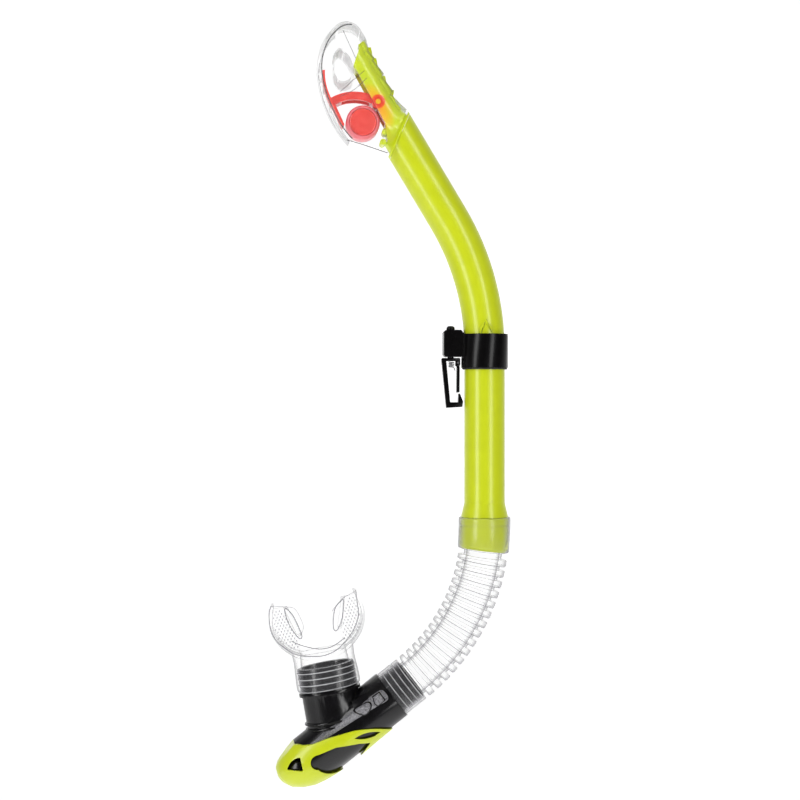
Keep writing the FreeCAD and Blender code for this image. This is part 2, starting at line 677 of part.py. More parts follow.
def flex_hose():
    """The corrugated hose: a cuff at each end, a thin wall and a row of ribs on the bend."""
    body = new_body("flex_hose")
    clear = s["spigot_radius"] + 0.1
    top = -s["flare_bottom"] - 0.3
    sketch = sketch_on(body, "upper_cuff", "XY_Plane", (s["barrel_x"], 0, -s["hose_start"]))
    ring(sketch, s["cuff_radius"], clear)
    pad(body, sketch, s["hose_start"] + top)

    hose_centre = s["barrel_x"] - s["hose_bend_radius"]
    start = (hose_centre, 0, -s["hose_start"])

    def bent(name, outer, inner, first, turn):
        """A stretch of tube about the bend's axis, from one angle on."""
        first_angle = as_size(first).value
        sketch = sketch_on(body, name, "XY_Plane", start, turned(first_angle))
        ring(sketch, outer, inner, s["hose_bend_radius"])
        return revolve(body, sketch, turn)

    bent("cuff_bend", s["cuff_radius"], clear, 0, s["spigot_angle"] + 0.15)
    bent("cuff_shoulder", s["cuff_radius"] - 0.3, s["hose_bore"], s["spigot_angle"] + 0.1, 0.9)
    wall_turn = s["hose_angle"] - s["spigot_angle"] - 0.3
    bent("thin_wall", s["hose_wall"], s["hose_bore"], s["spigot_angle"] + 0.3, wall_turn)
    rib = bent("rib", s["rib_radius"], s["hose_bore"] + 0.5, s["rib_first"], s["rib_turn"])
    pattern = body.newObject("PartDesign::PolarPattern", "rib_row")
    pattern.Originals = [rib]
    pattern.Axis = (rib.Profile[0], ["V_Axis"])
    pattern.Angle = value("rib_pitch") * (value("rib_count") - 1)
    bind(pattern, "Angle", s["rib_pitch"] * (s["rib_count"] - 1))
    pattern.Occurrences = int(value("rib_count"))
    bind(pattern, "Occurrences", s["rib_count"])
    body.Tip = pattern
    doc.recompute()

    fall_turn = turned(180 + value("hose_angle"))
    sketch = sketch_on(body, "lower_shoulder", "XY_Plane", (rim_x, 0, rim_z), fall_turn)
    ring(sketch, s["lower_cuff"], s["hose_bore"])
    pad(body, sketch, 1.2, backwards=True)
    sketch = sketch_on(body, "lower_cuff_wall", "XY_Plane", (rim_x, 0, rim_z), fall_turn)
    ring(sketch, s["lower_cuff"], s["port_radius"] + 0.1)
    pad(body, sketch, s["cuff_run"] - 0.3)
    return body


# ---- purge chamber and mouthpiece -------------------------------------------------------


def chamber_body():
    """The Y-shaped chamber: hose port, cylinder open at the nose, and oval mouth port."""
    body = new_body("chamber_body", CHAMBER)
    spigot_run = s["cuff_run"] - 0.2
    sketch = sketch_on(body, "cylinder", "XY_Plane", (0, 0, 0))
    circle(sketch, s["chamber_radius"])
    pad(body, sketch, s["chamber_length"])
    sketch = sketch_on(body, "hose_spigot", "XY_Plane", (0, 0, -spigot_run))
    circle(sketch, s["port_radius"])
    pad(body, sketch, spigot_run + 1)

    # The oval port leans back towards the hose.
    port_turn = turned(-value("mouth_lean") - 180 - value("hose_angle"))
    foot = (0, 0, s["mouth_at"])
    sketch = sketch_on(body, "mouth_port", "XY_Plane", foot, port_turn)
    oval(sketch, s["mouth_width"], s["mouth_depth"])
    pad(body, sketch, s["mouth_rise"])
    sketch = sketch_on(body, "mouth_flange", "XY_Plane", port_point(27.4), port_turn)
    oval(sketch, s["mouth_width"] + 1.5, s["mouth_depth"] + 1.5)
    pad(body, sketch, 1.6)

    # Everything is hollow and joined inside.
    sketch = sketch_on(body, "chamber_hollow", "XY_Plane", (0, 0, s["chamber_length"]))
    circle(sketch, s["chamber_bore"])
    pocket(body, sketch, s["chamber_length"] - 3)
    sketch = sketch_on(body, "hose_bore", "XY_Plane", (0, 0, -spigot_run))
    circle(sketch, s["hose_bore"] + 0.4)
    pocket(body, sketch, 24, backwards=True)
    sketch = sketch_on(body, "mouth_hollow", "XY_Plane", foot, port_turn)
    oval(sketch, s["mouth_width"] - 2.2, s["mouth_depth"] - 2.0)
    pocket(body, sketch, s["mouth_rise"] + 1, backwards=True)

    # Two low pads on the near side of the chamber.
    sketch = sketch_on(body, "round_pad", "XZ_Plane", (10.2, 16.5, 12.6))
    polygon(sketch, [(-2.4, -5.2), (2.0, -5.2), (2.6, 4.0), (0, 5.4), (-2.6, 4.0)])
    pad(body, sketch, 3.0, backwards=True)
    return body


def port_point(rise):
    """A point of the mouth port's axis, in the chamber's frame."""
    lean_angle = port_lean + fall
    across = math.sin(lean_angle)
    back = math.cos(lean_angle)
    return (rise * across, 0, value("mouth_at") - rise * back)


def purge_seat():
    """The spoked disc that the purge membrane lies on."""
    body = new_body("purge_seat", CHAMBER)
    low = s["chamber_length"] - 3
    sketch = sketch_on(body, "seat_rim", "XY_Plane", (0, 0, low))
    ring(sketch, s["chamber_bore"] - 0.05, 10.6)
    pad(body, sketch, 2.2)
    sketch = sketch_on(body, "seat_hub", "XY_Plane", (0, 0, low))
    ring(sketch, 3.2, 1.3)
    pad(body, sketch, 2.2)
    sketch = sketch_on(body, "seat_spoke", "XY_Plane", (0, 0, low))
    box_outline(sketch, 2.6, 11.2, -0.8, 0.8)
    spoke = pad(body, sketch, 2.2)
    pattern = body.newObject("PartDesign::PolarPattern", "spokes")
    pattern.Originals = [spoke]
    pattern.Axis = (sketch, ["N_Axis"])
    pattern.Angle = 360
    pattern.Occurrences = 6
    body.Tip = pattern
    doc.recompute()
    return body


def purge_valve():
    """The round silicone membrane with the stem that is pulled through the seat's hub."""
    body = new_body("purge_valve", CHAMBER)
    face = s["chamber_length"] - 0.75
    sketch = sketch_on(body, "membrane", "XZ_Plane")
    polygon(sketch, [
        (0, face - 4.6), (1.1, face - 4.6), (1.25, face), (9.0, face), (11.9, face + 0.1),
        (11.9, face + 0.6), (9.0, face + 0.8), (2.4, face + 1.1), (1.2, face + 2.0), (0, face + 2.0),
    ])
    revolve(body, sketch)
    return body


def purge_cover():
    """The cap on the nose: domed, flat underneath, with windows and a tongue up each side."""
    gap = 0.12
    inner = value("chamber_radius") + gap
    length = value("chamber_length")

    def turned_solid(points):
        edges = Part.makePolygon([at(*p) for p in points] + [at(*points[0])])
        axis = FreeCAD.Vector(0, 0, 1)
        return Part.Face(edges).revolve(FreeCAD.Vector(0, 0, 0), axis, 360)

    outer = turned_solid([(0, 11), (inner + 0.9, 11), (inner + 1.3, 30), (inner + 1.9, 54),
                          (inner + 1.4, 62), (15.6, 69), (12.6, 75.5), (8.6, 80.5), (3.5, 83), (0, 83)])
    hollow = turned_solid([(0, 10), (inner, 10), (inner, 62), (14.2, 68), (11.3, 74), (7.6, 78.6),
                           (3.2, 81), (0, 81)])
    # The side view keeps the nose and a tongue that tapers up the lower side.
    kept = slab(outline_face((13.0, 60.4), (14.2, 62.6), (9.6, 84), (-22, 84), (-22, 50),
                             (-16.6, 50), (-15.5, 12), ((-5.4, 21.8), (0.2, 30.4)),
                             (5.4, 43.2), (8.4, 53.4), (10.8, 57.8)), 20)
    # On its upper side the nose is a flatter panel, and the hollow stops short of it.
    panel = slab(outline_face((12.7, 62.3), (8.2, 83.6), (20, 83.6), (20, 62.3)), 20)
    shell = outer.cut(hollow.cut(panel)).common(kept)
    # Flat underneath in the world, so the cap is trimmed square to the vertical.
    down = FreeCAD.Vector(-math.sin(fall), 0, math.cos(fall))
    depth_of_flat = 52.8
    floor = Part.makeBox(80, 80, 40, FreeCAD.Vector(-40, -40, depth_of_flat))
    floor.Placement = FreeCAD.Placement(HERE.Base, FreeCAD.Rotation(FreeCAD.Vector(0, 0, 1), down))
    shell = shell.cut(floor)
    big_window = slab(outline_face((2.0, 54.6), ((1.2, 60.4), (-5.8, 60.0)),
                                   ((-12.2, 57.4), (-16.2, 50.5)), (-19, 44), (-12.8, 26.8),
                                   (-8.4, 31.8), (-1.2, 43.6)), 20)
    three_sided = slab(outline_face((7.2, 64.0), ((8.0, 69.0), (6.2, 73.2)), ((5.4, 74.2), (4.0, 73.2)),
                                    (0.0, 68.4), ((-0.2, 67.2), (0.8, 66.6)), (6.4, 63.8)), 20)
    slot = slab(outline_face((-4.0, 32.2), ((-5.9, 24.6), (-11.2, 18.2)), (-11.0, 22.0),
                             ((-8.6, 27.2), (-4.0, 32.2))), 20)
    shell = shell.cut(three_sided).cut(big_window).cut(slot)
    biggest = max(shell.Solids, key=lambda solid: solid.Volume)
    return free_solid("purge_cover", biggest.removeSplitter(), CHAMBER)


def mouthpiece():
    """The soft mouthpiece: neck over the port, curved lip shield, bite plates and ridges."""
    def oval_wire(width, depth, up):
        curve = Part.Ellipse(at(width, up), at(0, up, depth), at(0, up))
        return Part.Wire([curve.toShape()])

    def neck(sections):
        return Part.makeLoft([oval_wire(*section) for section in sections], True, False)

    outside = neck([(18.8, 14.6, -13.2), (18.6, 14.4, -3), (18.2, 13.4, 3), (18.6, 12.4, 9)])
    sleeve = neck([(17.05, 12.65, -14), (17.05, 12.65, 0.3)])
    throat = neck([(14.6, 10.4, -1), (13.4, 8.4, 12)])

    def arch(width, low, tall, top):
        """The shield's outline: half an oval below, drawn in to its two tips above."""
        middle = 27.0
        inwards = width * math.sqrt(1 - ((top - middle) / tall) ** 2)
        swell = width * math.sqrt(1 - ((top - middle) * 0.5 / tall) ** 2)
        bottom = middle - low
        side = width * math.sin(math.radians(45))
        lower = middle - low * math.cos(math.radians(45))
        return outline_face((-inwards, top), ((-swell, (top + middle) / 2), (-width, middle)),
                            ((-side, lower), (0, bottom)), ((side, lower), (width, middle)),
                            ((swell, (top + middle) / 2), (inwards, top)))

    shield = slab(arch(28.3, 21.5, 30, 40.2), 12.5).cut(slab(arch(26.5, 19.7, 28, 41), 14))
    plate_ring = slab(arch(27.4, 20.6, 29, 38), 1.7)
    gap_between = slab(outline_face((-17.6, 45), (-11.4, 20.2), (-13.6, 10), (-13.6, 0), (13.6, 0),
                                    (13.6, 10), (11.4, 20.2), (17.6, 45)), 4)
    plates = plate_ring.cut(gap_between)
    ridge_face = outline_face((-18.4, 37.6), (-16.0, 37.2), (-10.8, 20.4), (-13.2, 19.8))
    ridges = [slab(ridge_face, 5.6), slab(ridge_face, 5.6).mirror(at(0, 0), at(1, 0))]
    solid = outside.fuse([shield, plates] + ridges).cut(sleeve).cut(throat)
    return free_solid("mouthpiece", solid.removeSplitter(), MOUTH)


NODES = [
    barrel_tube(), top_frame(), guard_cover(), pivot_pin(), float_arm(), valve_seal(),
    float_shell(), float_cap(), keeper_liner(), keeper_ring(), swivel_stem(), hook_frame(),
    hook_gate(), gate_pin(), gate_spring(), flex_hose(), chamber_body(), purge_seat(),
    purge_valve(), purge_cover(), mouthpiece(),
]

doc.recompute()
for item in doc.Objects:
    if "Invalid" in item.State or "Error" in item.State:
        raise RuntimeError(f"{item.Name} failed: {item.State}")
for node in NODES:
    if node.Shape.isNull() or not node.Shape.isValid():
        raise RuntimeError(f"{node.Label} has no valid shape")

os.makedirs("parts", exist_ok=True)
for node in NODES:
    node.Shape.exportStep(f"parts/{node.Label}.step")
    box = node.Shape.BoundBox
    print(f"{node.Label}: {len(node.Shape.Solids)} solid, {node.Shape.Volume:.0f} mm3, "
          f"x {box.XMin:.1f}..{box.XMax:.1f}, y {box.YMin:.1f}..{box.YMax:.1f}, "
          f"z {box.ZMin:.1f}..{box.ZMax:.1f}")
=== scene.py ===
# %% [markdown]
# # A dry-top snorkel tube
# The imported model gives every part its true size and place. This lesson dresses it: soft
# studio light, moulded plastics, clear polycarbonate and silicone, and the small details
# that a mould leaves. We begin by loading the frame.

# %% Load the frame
import json
import math

import bmesh
import bpy
from mathutils import Matrix, Vector
from mathutils.bvhtree import BVHTree

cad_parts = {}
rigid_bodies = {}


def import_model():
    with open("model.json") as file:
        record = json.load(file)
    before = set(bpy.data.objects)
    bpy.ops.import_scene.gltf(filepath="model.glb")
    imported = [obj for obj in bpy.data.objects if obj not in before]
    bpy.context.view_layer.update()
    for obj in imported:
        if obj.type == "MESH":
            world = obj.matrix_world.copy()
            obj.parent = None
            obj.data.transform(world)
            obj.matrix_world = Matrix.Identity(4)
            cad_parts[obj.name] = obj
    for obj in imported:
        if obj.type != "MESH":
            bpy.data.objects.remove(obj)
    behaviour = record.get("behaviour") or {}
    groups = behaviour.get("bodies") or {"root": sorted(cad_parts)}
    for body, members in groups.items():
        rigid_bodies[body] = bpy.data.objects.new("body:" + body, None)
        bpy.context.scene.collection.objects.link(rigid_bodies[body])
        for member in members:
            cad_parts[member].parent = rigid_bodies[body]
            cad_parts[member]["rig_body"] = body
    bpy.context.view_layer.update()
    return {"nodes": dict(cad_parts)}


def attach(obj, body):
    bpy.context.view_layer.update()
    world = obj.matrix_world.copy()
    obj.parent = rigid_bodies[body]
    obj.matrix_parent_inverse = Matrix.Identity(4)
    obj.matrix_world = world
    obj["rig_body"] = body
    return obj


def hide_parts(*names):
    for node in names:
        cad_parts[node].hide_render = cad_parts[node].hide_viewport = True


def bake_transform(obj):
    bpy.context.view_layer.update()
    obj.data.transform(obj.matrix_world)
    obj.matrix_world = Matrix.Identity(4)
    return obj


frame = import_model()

MM = 0.001

# %% [markdown]
# Three places on the snorkel have a direction of their own: the dry top leans back from the
# barrel, the valve chamber slopes under the chin, and the mouthpiece stands up from it. Each
# gets a small frame, so that we can think in "across" and "along" for that part. All numbers
# are millimetres, turned about the Y axis.


# %% Local frames
def local_frame(origin, turn):
    """A frame whose Z points along the part: millimetres in, metres in the row frame out."""
    place = Matrix.Translation(Vector(origin) * MM)
    return place @ Matrix.Rotation(math.radians(turn), 4, "Y") @ Matrix.Scale(MM, 4)


WHOLE = Matrix.Scale(MM, 4)
DRY_TOP = local_frame((-31.4, 0, 146.3), -31)
CHAMBER = local_frame((-36.1, 0, -183.8), 232)
MOUTH = local_frame((-75.6, 0, -165.9), -10)
print("dry top starts at", [round(v, 4) for v in DRY_TOP.translation])

# %% [markdown]
# A studio picture of clear plastic is made by what stands round it. We use a white sweep of
# light behind, a dimmer room in front so that black parts stay black, and two tall soft
# boxes that draw the two upright streaks on the glossy barrel. The alternative, one even
# white dome, makes clear parts vanish and black parts look grey.


# %% Colours, nodes and the room
def linear(code):
    """An sRGB hex colour such as c8d820, as linear red, green, blue and alpha."""
    parts = [int(code[i:i + 2], 16) / 255 for i in (0, 2, 4)]
    return [p / 12.92 if p <= 0.04045 else ((p + 0.055) / 1.055) ** 2.4 for p in parts] + [1]


def add_node(tree, kind, settings=None, values=None, links=None):
    """One node: settings are its own options, values its sockets, links what feeds them."""
    made = tree.nodes.new(kind)
    for name, value in (settings or {}).items():
        setattr(made, name, value)
    for name, value in (values or {}).items():
        made.inputs[name].default_value = value
    for name, source in (links or {}).items():
        tree.links.new(source, made.inputs[name])
    return made


def two_colours(tree, factor, first, second, start=0.0, end=1.0):
    """A ramp from one hex colour to another, fed by a factor."""
    made = add_node(tree, "ShaderNodeValToRGB", links={"Fac": factor})
    for stop, code, place in zip(made.color_ramp.elements, (first, second), (start, end)):
        stop.color, stop.position = linear(code), place
    return made


scene = bpy.context.scene
scene.view_settings.view_transform = "Standard"
room = bpy.data.worlds.new("studio_room")
scene.world = room
room.use_nodes = True
tree = room.node_tree
tree.nodes.clear()
direction = add_node(tree, "ShaderNodeTexCoord")
axes = add_node(tree, "ShaderNodeSeparateXYZ", links={"Vector": direction.outputs["Generated"]})
depth = add_node(tree, "ShaderNodeMapRange", {"interpolation_type": "SMOOTHSTEP"},
                 {"From Min": -0.3, "From Max": 0.7, "To Min": 0.1, "To Max": 0.8},
                 {"Value": axes.outputs["Y"]})
dim = add_node(tree, "ShaderNodeBackground", links={"Strength": depth.outputs["Result"]})
white = add_node(tree, "ShaderNodeBackground", values={"Color": (1, 1, 1, 1), "Strength": 1.0})
seen = add_node(tree, "ShaderNodeLightPath")
both = add_node(tree, "ShaderNodeMixShader", links={0: seen.outputs["Is Camera Ray"]})
tree.links.new(dim.outputs[0], both.inputs[1])
tree.links.new(white.outputs[0], both.inputs[2])
add_node(tree, "ShaderNodeOutputWorld", links={"Surface": both.outputs[0]})


def soft_box(name, side, height, width, tall, watts, distance=1.1):
    """A tall soft box beside the camera, turned to the snorkel."""
    lamp = bpy.data.lights.new(name, "AREA")
    lamp.shape, lamp.size, lamp.size_y, lamp.energy = "RECTANGLE", width, tall, watts
    stand = bpy.data.objects.new(name, lamp)
    scene.collection.objects.link(stand)
    turn = math.radians(side)
    stand.location = (distance * math.sin(turn) - 0.03, -distance * math.cos(turn), height)
    aim = Vector((-0.03, 0, 0)) - stand.location
    stand.rotation_euler = aim.to_track_quat("-Z", "Y").to_euler()
    return stand


soft_box("soft_box_left", -48, 0.2, 0.3, 1.3, 8)
soft_box("soft_box_right", 32, 0.2, 0.26, 1.3, 6.5)
soft_box("soft_box_high", 5, 1.3, 1.0, 0.5, 4, 0.5)

# %% [markdown]
# The floor is a pale board well below the hanging snorkel. It curves up behind, as a paper
# sweep does, so that no horizon line crosses the picture.

# %% Floor and camera
paper = bpy.data.materials.new("white_paper_sweep")
paper.use_nodes = True
tree = paper.node_tree
shader = tree.nodes["Principled BSDF"]
shader.inputs["Roughness"].default_value = 0.9
shader.inputs["Emission Color"].default_value = (1, 1, 1, 1)
shader.inputs["Emission Strength"].default_value = 0.62
grain = add_node(tree, "ShaderNodeTexNoise", values={"Scale": 40.0, "Detail": 3.0})
tint = two_colours(tree, grain.outputs["Fac"], "f6f6f6", "ffffff")
tree.links.new(tint.outputs["Color"], shader.inputs["Base Color"])

FLOOR_DROP, SWEEP_RADIUS, FLOOR_HALF = -0.9, 0.9, 2.4
FLOOR_NEAR, SWEEP_FROM, SWEEP_TOP, SWEEP_STEPS = -1.6, 1.4, 2.6, 12
sweep_mesh = bmesh.new()
rows = [(FLOOR_NEAR, FLOOR_DROP), (SWEEP_FROM, FLOOR_DROP)]
for step in range(1, SWEEP_STEPS + 1):
    lift = math.radians(90) * step / SWEEP_STEPS
    rows.append((SWEEP_FROM + SWEEP_RADIUS * math.sin(lift),
                 FLOOR_DROP + SWEEP_RADIUS * (1 - math.cos(lift))))
rows.append((SWEEP_FROM + SWEEP_RADIUS, SWEEP_TOP))
edges = [[sweep_mesh.verts.new((x, y, z)) for y, z in rows] for x in (-FLOOR_HALF, FLOOR_HALF)]
for i in range(len(rows) - 1):
    sweep_mesh.faces.new((edges[0][i], edges[1][i], edges[1][i + 1], edges[0][i + 1]))
mesh = bpy.data.meshes.new("floor_sweep")
sweep_mesh.to_mesh(mesh)
floor = bpy.data.objects.new("floor_sweep", mesh)
scene.collection.objects.link(floor)
for face in mesh.polygons:
    face.use_smooth = True
mesh.materials.append(paper)

camera = bpy.data.objects.new("camera", bpy.data.cameras.new("camera"))
scene.collection.objects.link(camera)
camera.data.lens, camera.data.sensor_width = 76.0, 36
camera.data.clip_start = 0.05
AIM, STAND_OFF, SIDE = Vector((-0.0313, 0, -0.0095)), 1.0, math.radians(-4)
camera.location = AIM + STAND_OFF * Vector((math.sin(SIDE), -math.cos(SIDE), 0))
camera.rotation_euler = (AIM - camera.location).to_track_quat("-Z", "Y").to_euler()
scene.camera = camera
print("camera stands", round(STAND_OFF, 3), "m away")

# %% [markdown]
# ## Materials
# Every finish here is a moulded polymer or a bit of steel wire. A glossy mould gives ABS a
# tight highlight with a faint waviness; we draw that waviness from slow noise, a few
# millimetres long, and add a second, finer noise for the small scuffs that handling leaves
# in the roughness. The same recipe serves lime, black and red ABS with other colours.


# %% Moulded ABS
def moulded(name, deep, light, roughness, wave=4.0, scuff=0.06, lift=0.02, extra=None):
    """Glossy injection-moulded plastic. wave is the length in mm of its slow unevenness."""
    made = bpy.data.materials.new(name)
    made.use_nodes = True
    tree = made.node_tree
    shader = tree.nodes["Principled BSDF"]
    for socket, value in (extra or {}).items():
        shader.inputs[socket].default_value = value
    place = add_node(tree, "ShaderNodeTexCoord")
    slow = add_node(tree, "ShaderNodeTexNoise", values={"Scale": 1000 / wave, "Detail": 2.0},
                    links={"Vector": place.outputs["Object"]})
    ramp = two_colours(tree, slow.outputs["Fac"], deep, light, 0.3, 0.7)
    tree.links.new(ramp.outputs["Color"], shader.inputs["Base Color"])
    fine = add_node(tree, "ShaderNodeTexNoise", values={"Scale": 1000 / (wave / 6), "Detail": 6.0},
                    links={"Vector": place.outputs["Object"]})
    gloss = add_node(tree, "ShaderNodeMapRange",
                     values={"To Min": max(0.02, roughness - scuff), "To Max": roughness + scuff},
                     links={"Value": fine.outputs["Fac"]})
    tree.links.new(gloss.outputs["Result"], shader.inputs["Roughness"])
    bump = add_node(tree, "ShaderNodeBump", values={"Strength": lift, "Distance": 0.0004},
                    links={"Height": slow.outputs["Fac"]})
    tree.links.new(bump.outputs["Normal"], shader.inputs["Normal"])
    return made


lime_abs = moulded("lime_abs_gloss_moulded", "c3cf16", "c8d419", 0.3, wave=9.0, lift=0.015,
                   extra={"Coat Weight": 0.12, "Coat Roughness": 0.12, "IOR": 1.5})
black_abs = moulded("black_abs_gloss_moulded", "060506", "0e0d10", 0.2, scuff=0.06,
                    extra={"Specular IOR Level": 0.4, "IOR": 1.53})
black_nylon = moulded("black_nylon_satin_moulded", "040304", "080708", 0.24, wave=2.5,
                      extra={"Specular IOR Level": 0.22})
coral_abs = moulded("coral_abs_moulded", "e8433c", "f4574e", 0.24,
                    extra={"Subsurface Weight": 0.25, "Subsurface Scale": 0.002})
# The float drum is a paler rose than the coral lid and arm: painted sheen, the light on the drum's side
# laid into its colour.
rose_sheen_float = moulded("rose_float_painted_sheen", "ec6a74", "f27e88", 0.3,
                   extra={"Subsurface Weight": 0.3, "Subsurface Scale": 0.003})
print("materials:", len(bpy.data.materials))

# %% [markdown]
# Clear polycarbonate and clear silicone both let light through; what the eye sees is their
# edges. Light that enters near an outline travels a long way inside the wall and comes out
# grey, so both the grey and how much it covers follow how steeply we look at the surface
# (Layer Weight). Full refraction would also work, but these walls are about a millimetre
# thick and hardly bend the light, and the edges are what has to be right. Silicone is softer
# to the eye: a little cloudy, with a broader highlight and a faint skin texture.


# %% Clear polymers
def clear_polymer(name, face, edge, thin, thick, roughness, grain_mm, lift, edge_from=0.45):
    """See-through plastic. thin and thick are how much it covers face on and edge on."""
    made = bpy.data.materials.new(name)
    made.use_nodes = True
    tree = made.node_tree
    shader = tree.nodes["Principled BSDF"]
    shader.inputs["IOR"].default_value = 1.45
    turn = add_node(tree, "ShaderNodeLayerWeight", values={"Blend": 0.5})
    ramp = two_colours(tree, turn.outputs["Facing"], face, edge, edge_from, 1.0)
    tree.links.new(ramp.outputs["Color"], shader.inputs["Base Color"])
    cover = add_node(tree, "ShaderNodeMapRange", {"interpolation_type": "SMOOTHSTEP"},
                     {"From Min": edge_from, "From Max": 1.0, "To Min": thin, "To Max": thick},
                     {"Value": turn.outputs["Facing"]})
    tree.links.new(cover.outputs["Result"], shader.inputs["Alpha"])
    place = add_node(tree, "ShaderNodeTexCoord")
    grain = add_node(tree, "ShaderNodeTexNoise", values={"Scale": 1000 / grain_mm, "Detail": 3.0},
                     links={"Vector": place.outputs["Object"]})
    gloss = add_node(tree, "ShaderNodeMapRange",
                     values={"To Min": roughness * 0.5, "To Max": roughness * 1.5},
                     links={"Value": grain.outputs["Fac"]})
    tree.links.new(gloss.outputs["Result"], shader.inputs["Roughness"])
    bump = add_node(tree, "ShaderNodeBump", values={"Strength": lift, "Distance": 0.0003},
                    links={"Height": grain.outputs["Fac"]})
    tree.links.new(bump.outputs["Normal"], shader.inputs["Normal"])
    return made


clear_polycarbonate = clear_polymer("clear_polycarbonate_moulded", "dcdcde", "4c4c50",
                                    0.02, 0.7, 0.06, 6.0, 0.02, edge_from=0.5)
clear_silicone = clear_polymer("clear_silicone_cured", "d4d4d8", "62616a",
                               0.03, 0.7, 0.1, 3.0, 0.02, edge_from=0.25)
silicone_edge = clear_polymer("clear_silicone_thick_edge", "96959c", "6e6d76",
                              0.55, 0.85, 0.1, 3.0, 0.02)
polycarbonate_edge = clear_polymer("clear_polycarbonate_thick_edge", "5c5c60", "3c3c40",
                                   0.7, 0.9, 0.06, 6.0, 0.02)
# Near-white, nearly covering silicone for the ridges and pips: its pale colour is painted highlight.
silicone_ridge_highlight = clear_polymer("clear_silicone_ridge_painted_highlight", "f2f2f4", "b0b0b8",
                               0.55, 0.9, 0.12, 2.0, 0.05)
print("clear polymers ready")

# %% [markdown]
# The pins and the little spring are stainless wire: a metal, so its colour is in its
# reflection, with fine drawing lines along the wire. The keeper's lining and the seal are
# rubbery silicones, nearly matt.

# %% Steel and rubber
steel = bpy.data.materials.new("stainless_wire_drawn")
steel.use_nodes = True
tree = steel.node_tree
shader = tree.nodes["Principled BSDF"]
shader.inputs["Metallic"].default_value = 1.0
place = add_node(tree, "ShaderNodeTexCoord")
lines = add_node(tree, "ShaderNodeTexNoise", values={"Scale": 5000.0, "Detail": 2.0},
                 links={"Vector": place.outputs["Object"]})
ramp = two_colours(tree, lines.outputs["Fac"], "77777a", "b4b4b6")
tree.links.new(ramp.outputs["Color"], shader.inputs["Base Color"])
gloss = add_node(tree, "ShaderNodeMapRange", values={"To Min": 0.18, "To Max": 0.4},
                 links={"Value": lines.outputs["Fac"]})
tree.links.new(gloss.outputs["Result"], shader.inputs["Roughness"])

black_rubber = moulded("black_silicone_matt", "0b0b0b", "171717", 0.55, wave=1.2, lift=0.1)
red_rubber = moulded("red_silicone_seal", "c8323a", "e0525a", 0.45, wave=1.5, lift=0.06)
print("steel and rubber ready")

# %% [markdown]
# ## Pieces
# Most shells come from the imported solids, whose shapes are already right but whose edges
# are razor sharp. A mould can't make a sharp edge, so each shell is copied, its flat
# triangles are joined into whole faces, and a small rounded bevel is run along every edge.
# The bevel is what catches the light and makes plastic look moulded.


# %% Easing the edges of a shell
def new_piece(name, mesh, material, body, nodes=(), smooth=True):
    """Puts a finished mesh in the scene, with its material, body and what it replaces."""
    made = bpy.data.objects.new(name, mesh)
    scene.collection.objects.link(made)
    mesh.materials.clear()
    mesh.materials.append(material)
    for face in mesh.polygons:
        face.use_smooth = smooth
    if body:
        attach(made, body)
    if nodes:
        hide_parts(*nodes)
    return made


def meshed(work, name):
    """The working mesh, closed off as a mesh of this name."""
    mesh = bpy.data.meshes.new(name)
    work.to_mesh(mesh)
    work.free()
    return mesh


def packed_copy(node):
    """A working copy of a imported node's mesh, with its doubled points joined."""
    work = bmesh.new()
    work.from_mesh(frame["nodes"][node].data)
    bmesh.ops.remove_doubles(work, verts=work.verts, dist=0.002 * MM)
    return work


def applied(piece):
    """Turns a piece's modifiers into plain mesh."""
    graph = bpy.context.evaluated_depsgraph_get()
    mesh = bpy.data.meshes.new_from_object(piece.evaluated_get(graph))
    piece.modifiers.clear()
    piece.data = mesh
    return piece


# The cap's foot is drawn up a little below this height, so that it ends flatter.
FOOT_FROM, FOOT_SHARE = -0.222, 0.86


def eased(node, name, material, radius, foot=False):
    """A copy of a packed shell with every hard edge rounded, in place of the node."""
    work = packed_copy(node)
    bmesh.ops.dissolve_limit(work, angle_limit=math.radians(1.5), verts=work.verts,
                             edges=work.edges)
    for vert in work.verts:
        if foot and vert.co.z < FOOT_FROM:
            vert.co.z = FOOT_FROM + (vert.co.z - FOOT_FROM) * FOOT_SHARE
    body = frame["nodes"][node]["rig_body"]
    piece = new_piece(name, meshed(work, name), material, body, [node])
    bevel = piece.modifiers.new("edge", "BEVEL")
    bevel.width, bevel.segments = radius * MM, 3
    bevel.limit_method, bevel.angle_limit = "ANGLE", math.radians(32)
    bevel.harden_normals = True
    applied(piece)
    print(name, len(piece.data.polygons), "faces")
    return piece


def dressed(node, material):
    """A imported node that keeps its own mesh, with a proper material."""
    kept = frame["nodes"][node]
    kept.data.materials.clear()
    kept.data.materials.append(material)
    return kept


for node, material in (("barrel_tube", lime_abs), ("gate_pin", steel), ("gate_spring", steel),
                       ("valve_seal", red_rubber), ("keeper_liner", black_rubber),
                       ("purge_seat", black_abs), ("purge_valve", clear_silicone)):
    dressed(node, material)
for node, name, material, slot_name, radius in (
        ("float_shell", "float_drum", rose_sheen_float, "red_plastic", 0.8),
        ("float_cap", "float_lid", coral_abs, "red_plastic", 0.4),
        ("float_arm", "float_lever_arm", coral_abs, "red_plastic", 0.3),
        ("keeper_ring", "keeper_band", black_nylon, "black_plastic", 0.35),
        ("swivel_stem", "hook_stem", black_nylon, "black_plastic", 0.25),
        ("hook_frame", "strap_hook", black_nylon, "black_plastic", 0.4),
        ("hook_gate", "strap_hook_gate", black_nylon, "black_plastic", 0.3),
        ("chamber_body", "purge_chamber", black_abs, "black_plastic", 0.4),
        ("purge_cover", "purge_grille", lime_abs, "lime_plastic", 0.5)):
    eased(node, name, material, radius, foot=node == "purge_cover")

# %% [markdown]
# Many small details are round beads: the rim of the guard, the edge of the lip shield, the
# line where two mouldings meet. A bead is a small circle of points carried along a soft
# curve. A curve object with a bevel would do the same, but it hides its points from us, and
# here some curves have to be laid on a shell first.

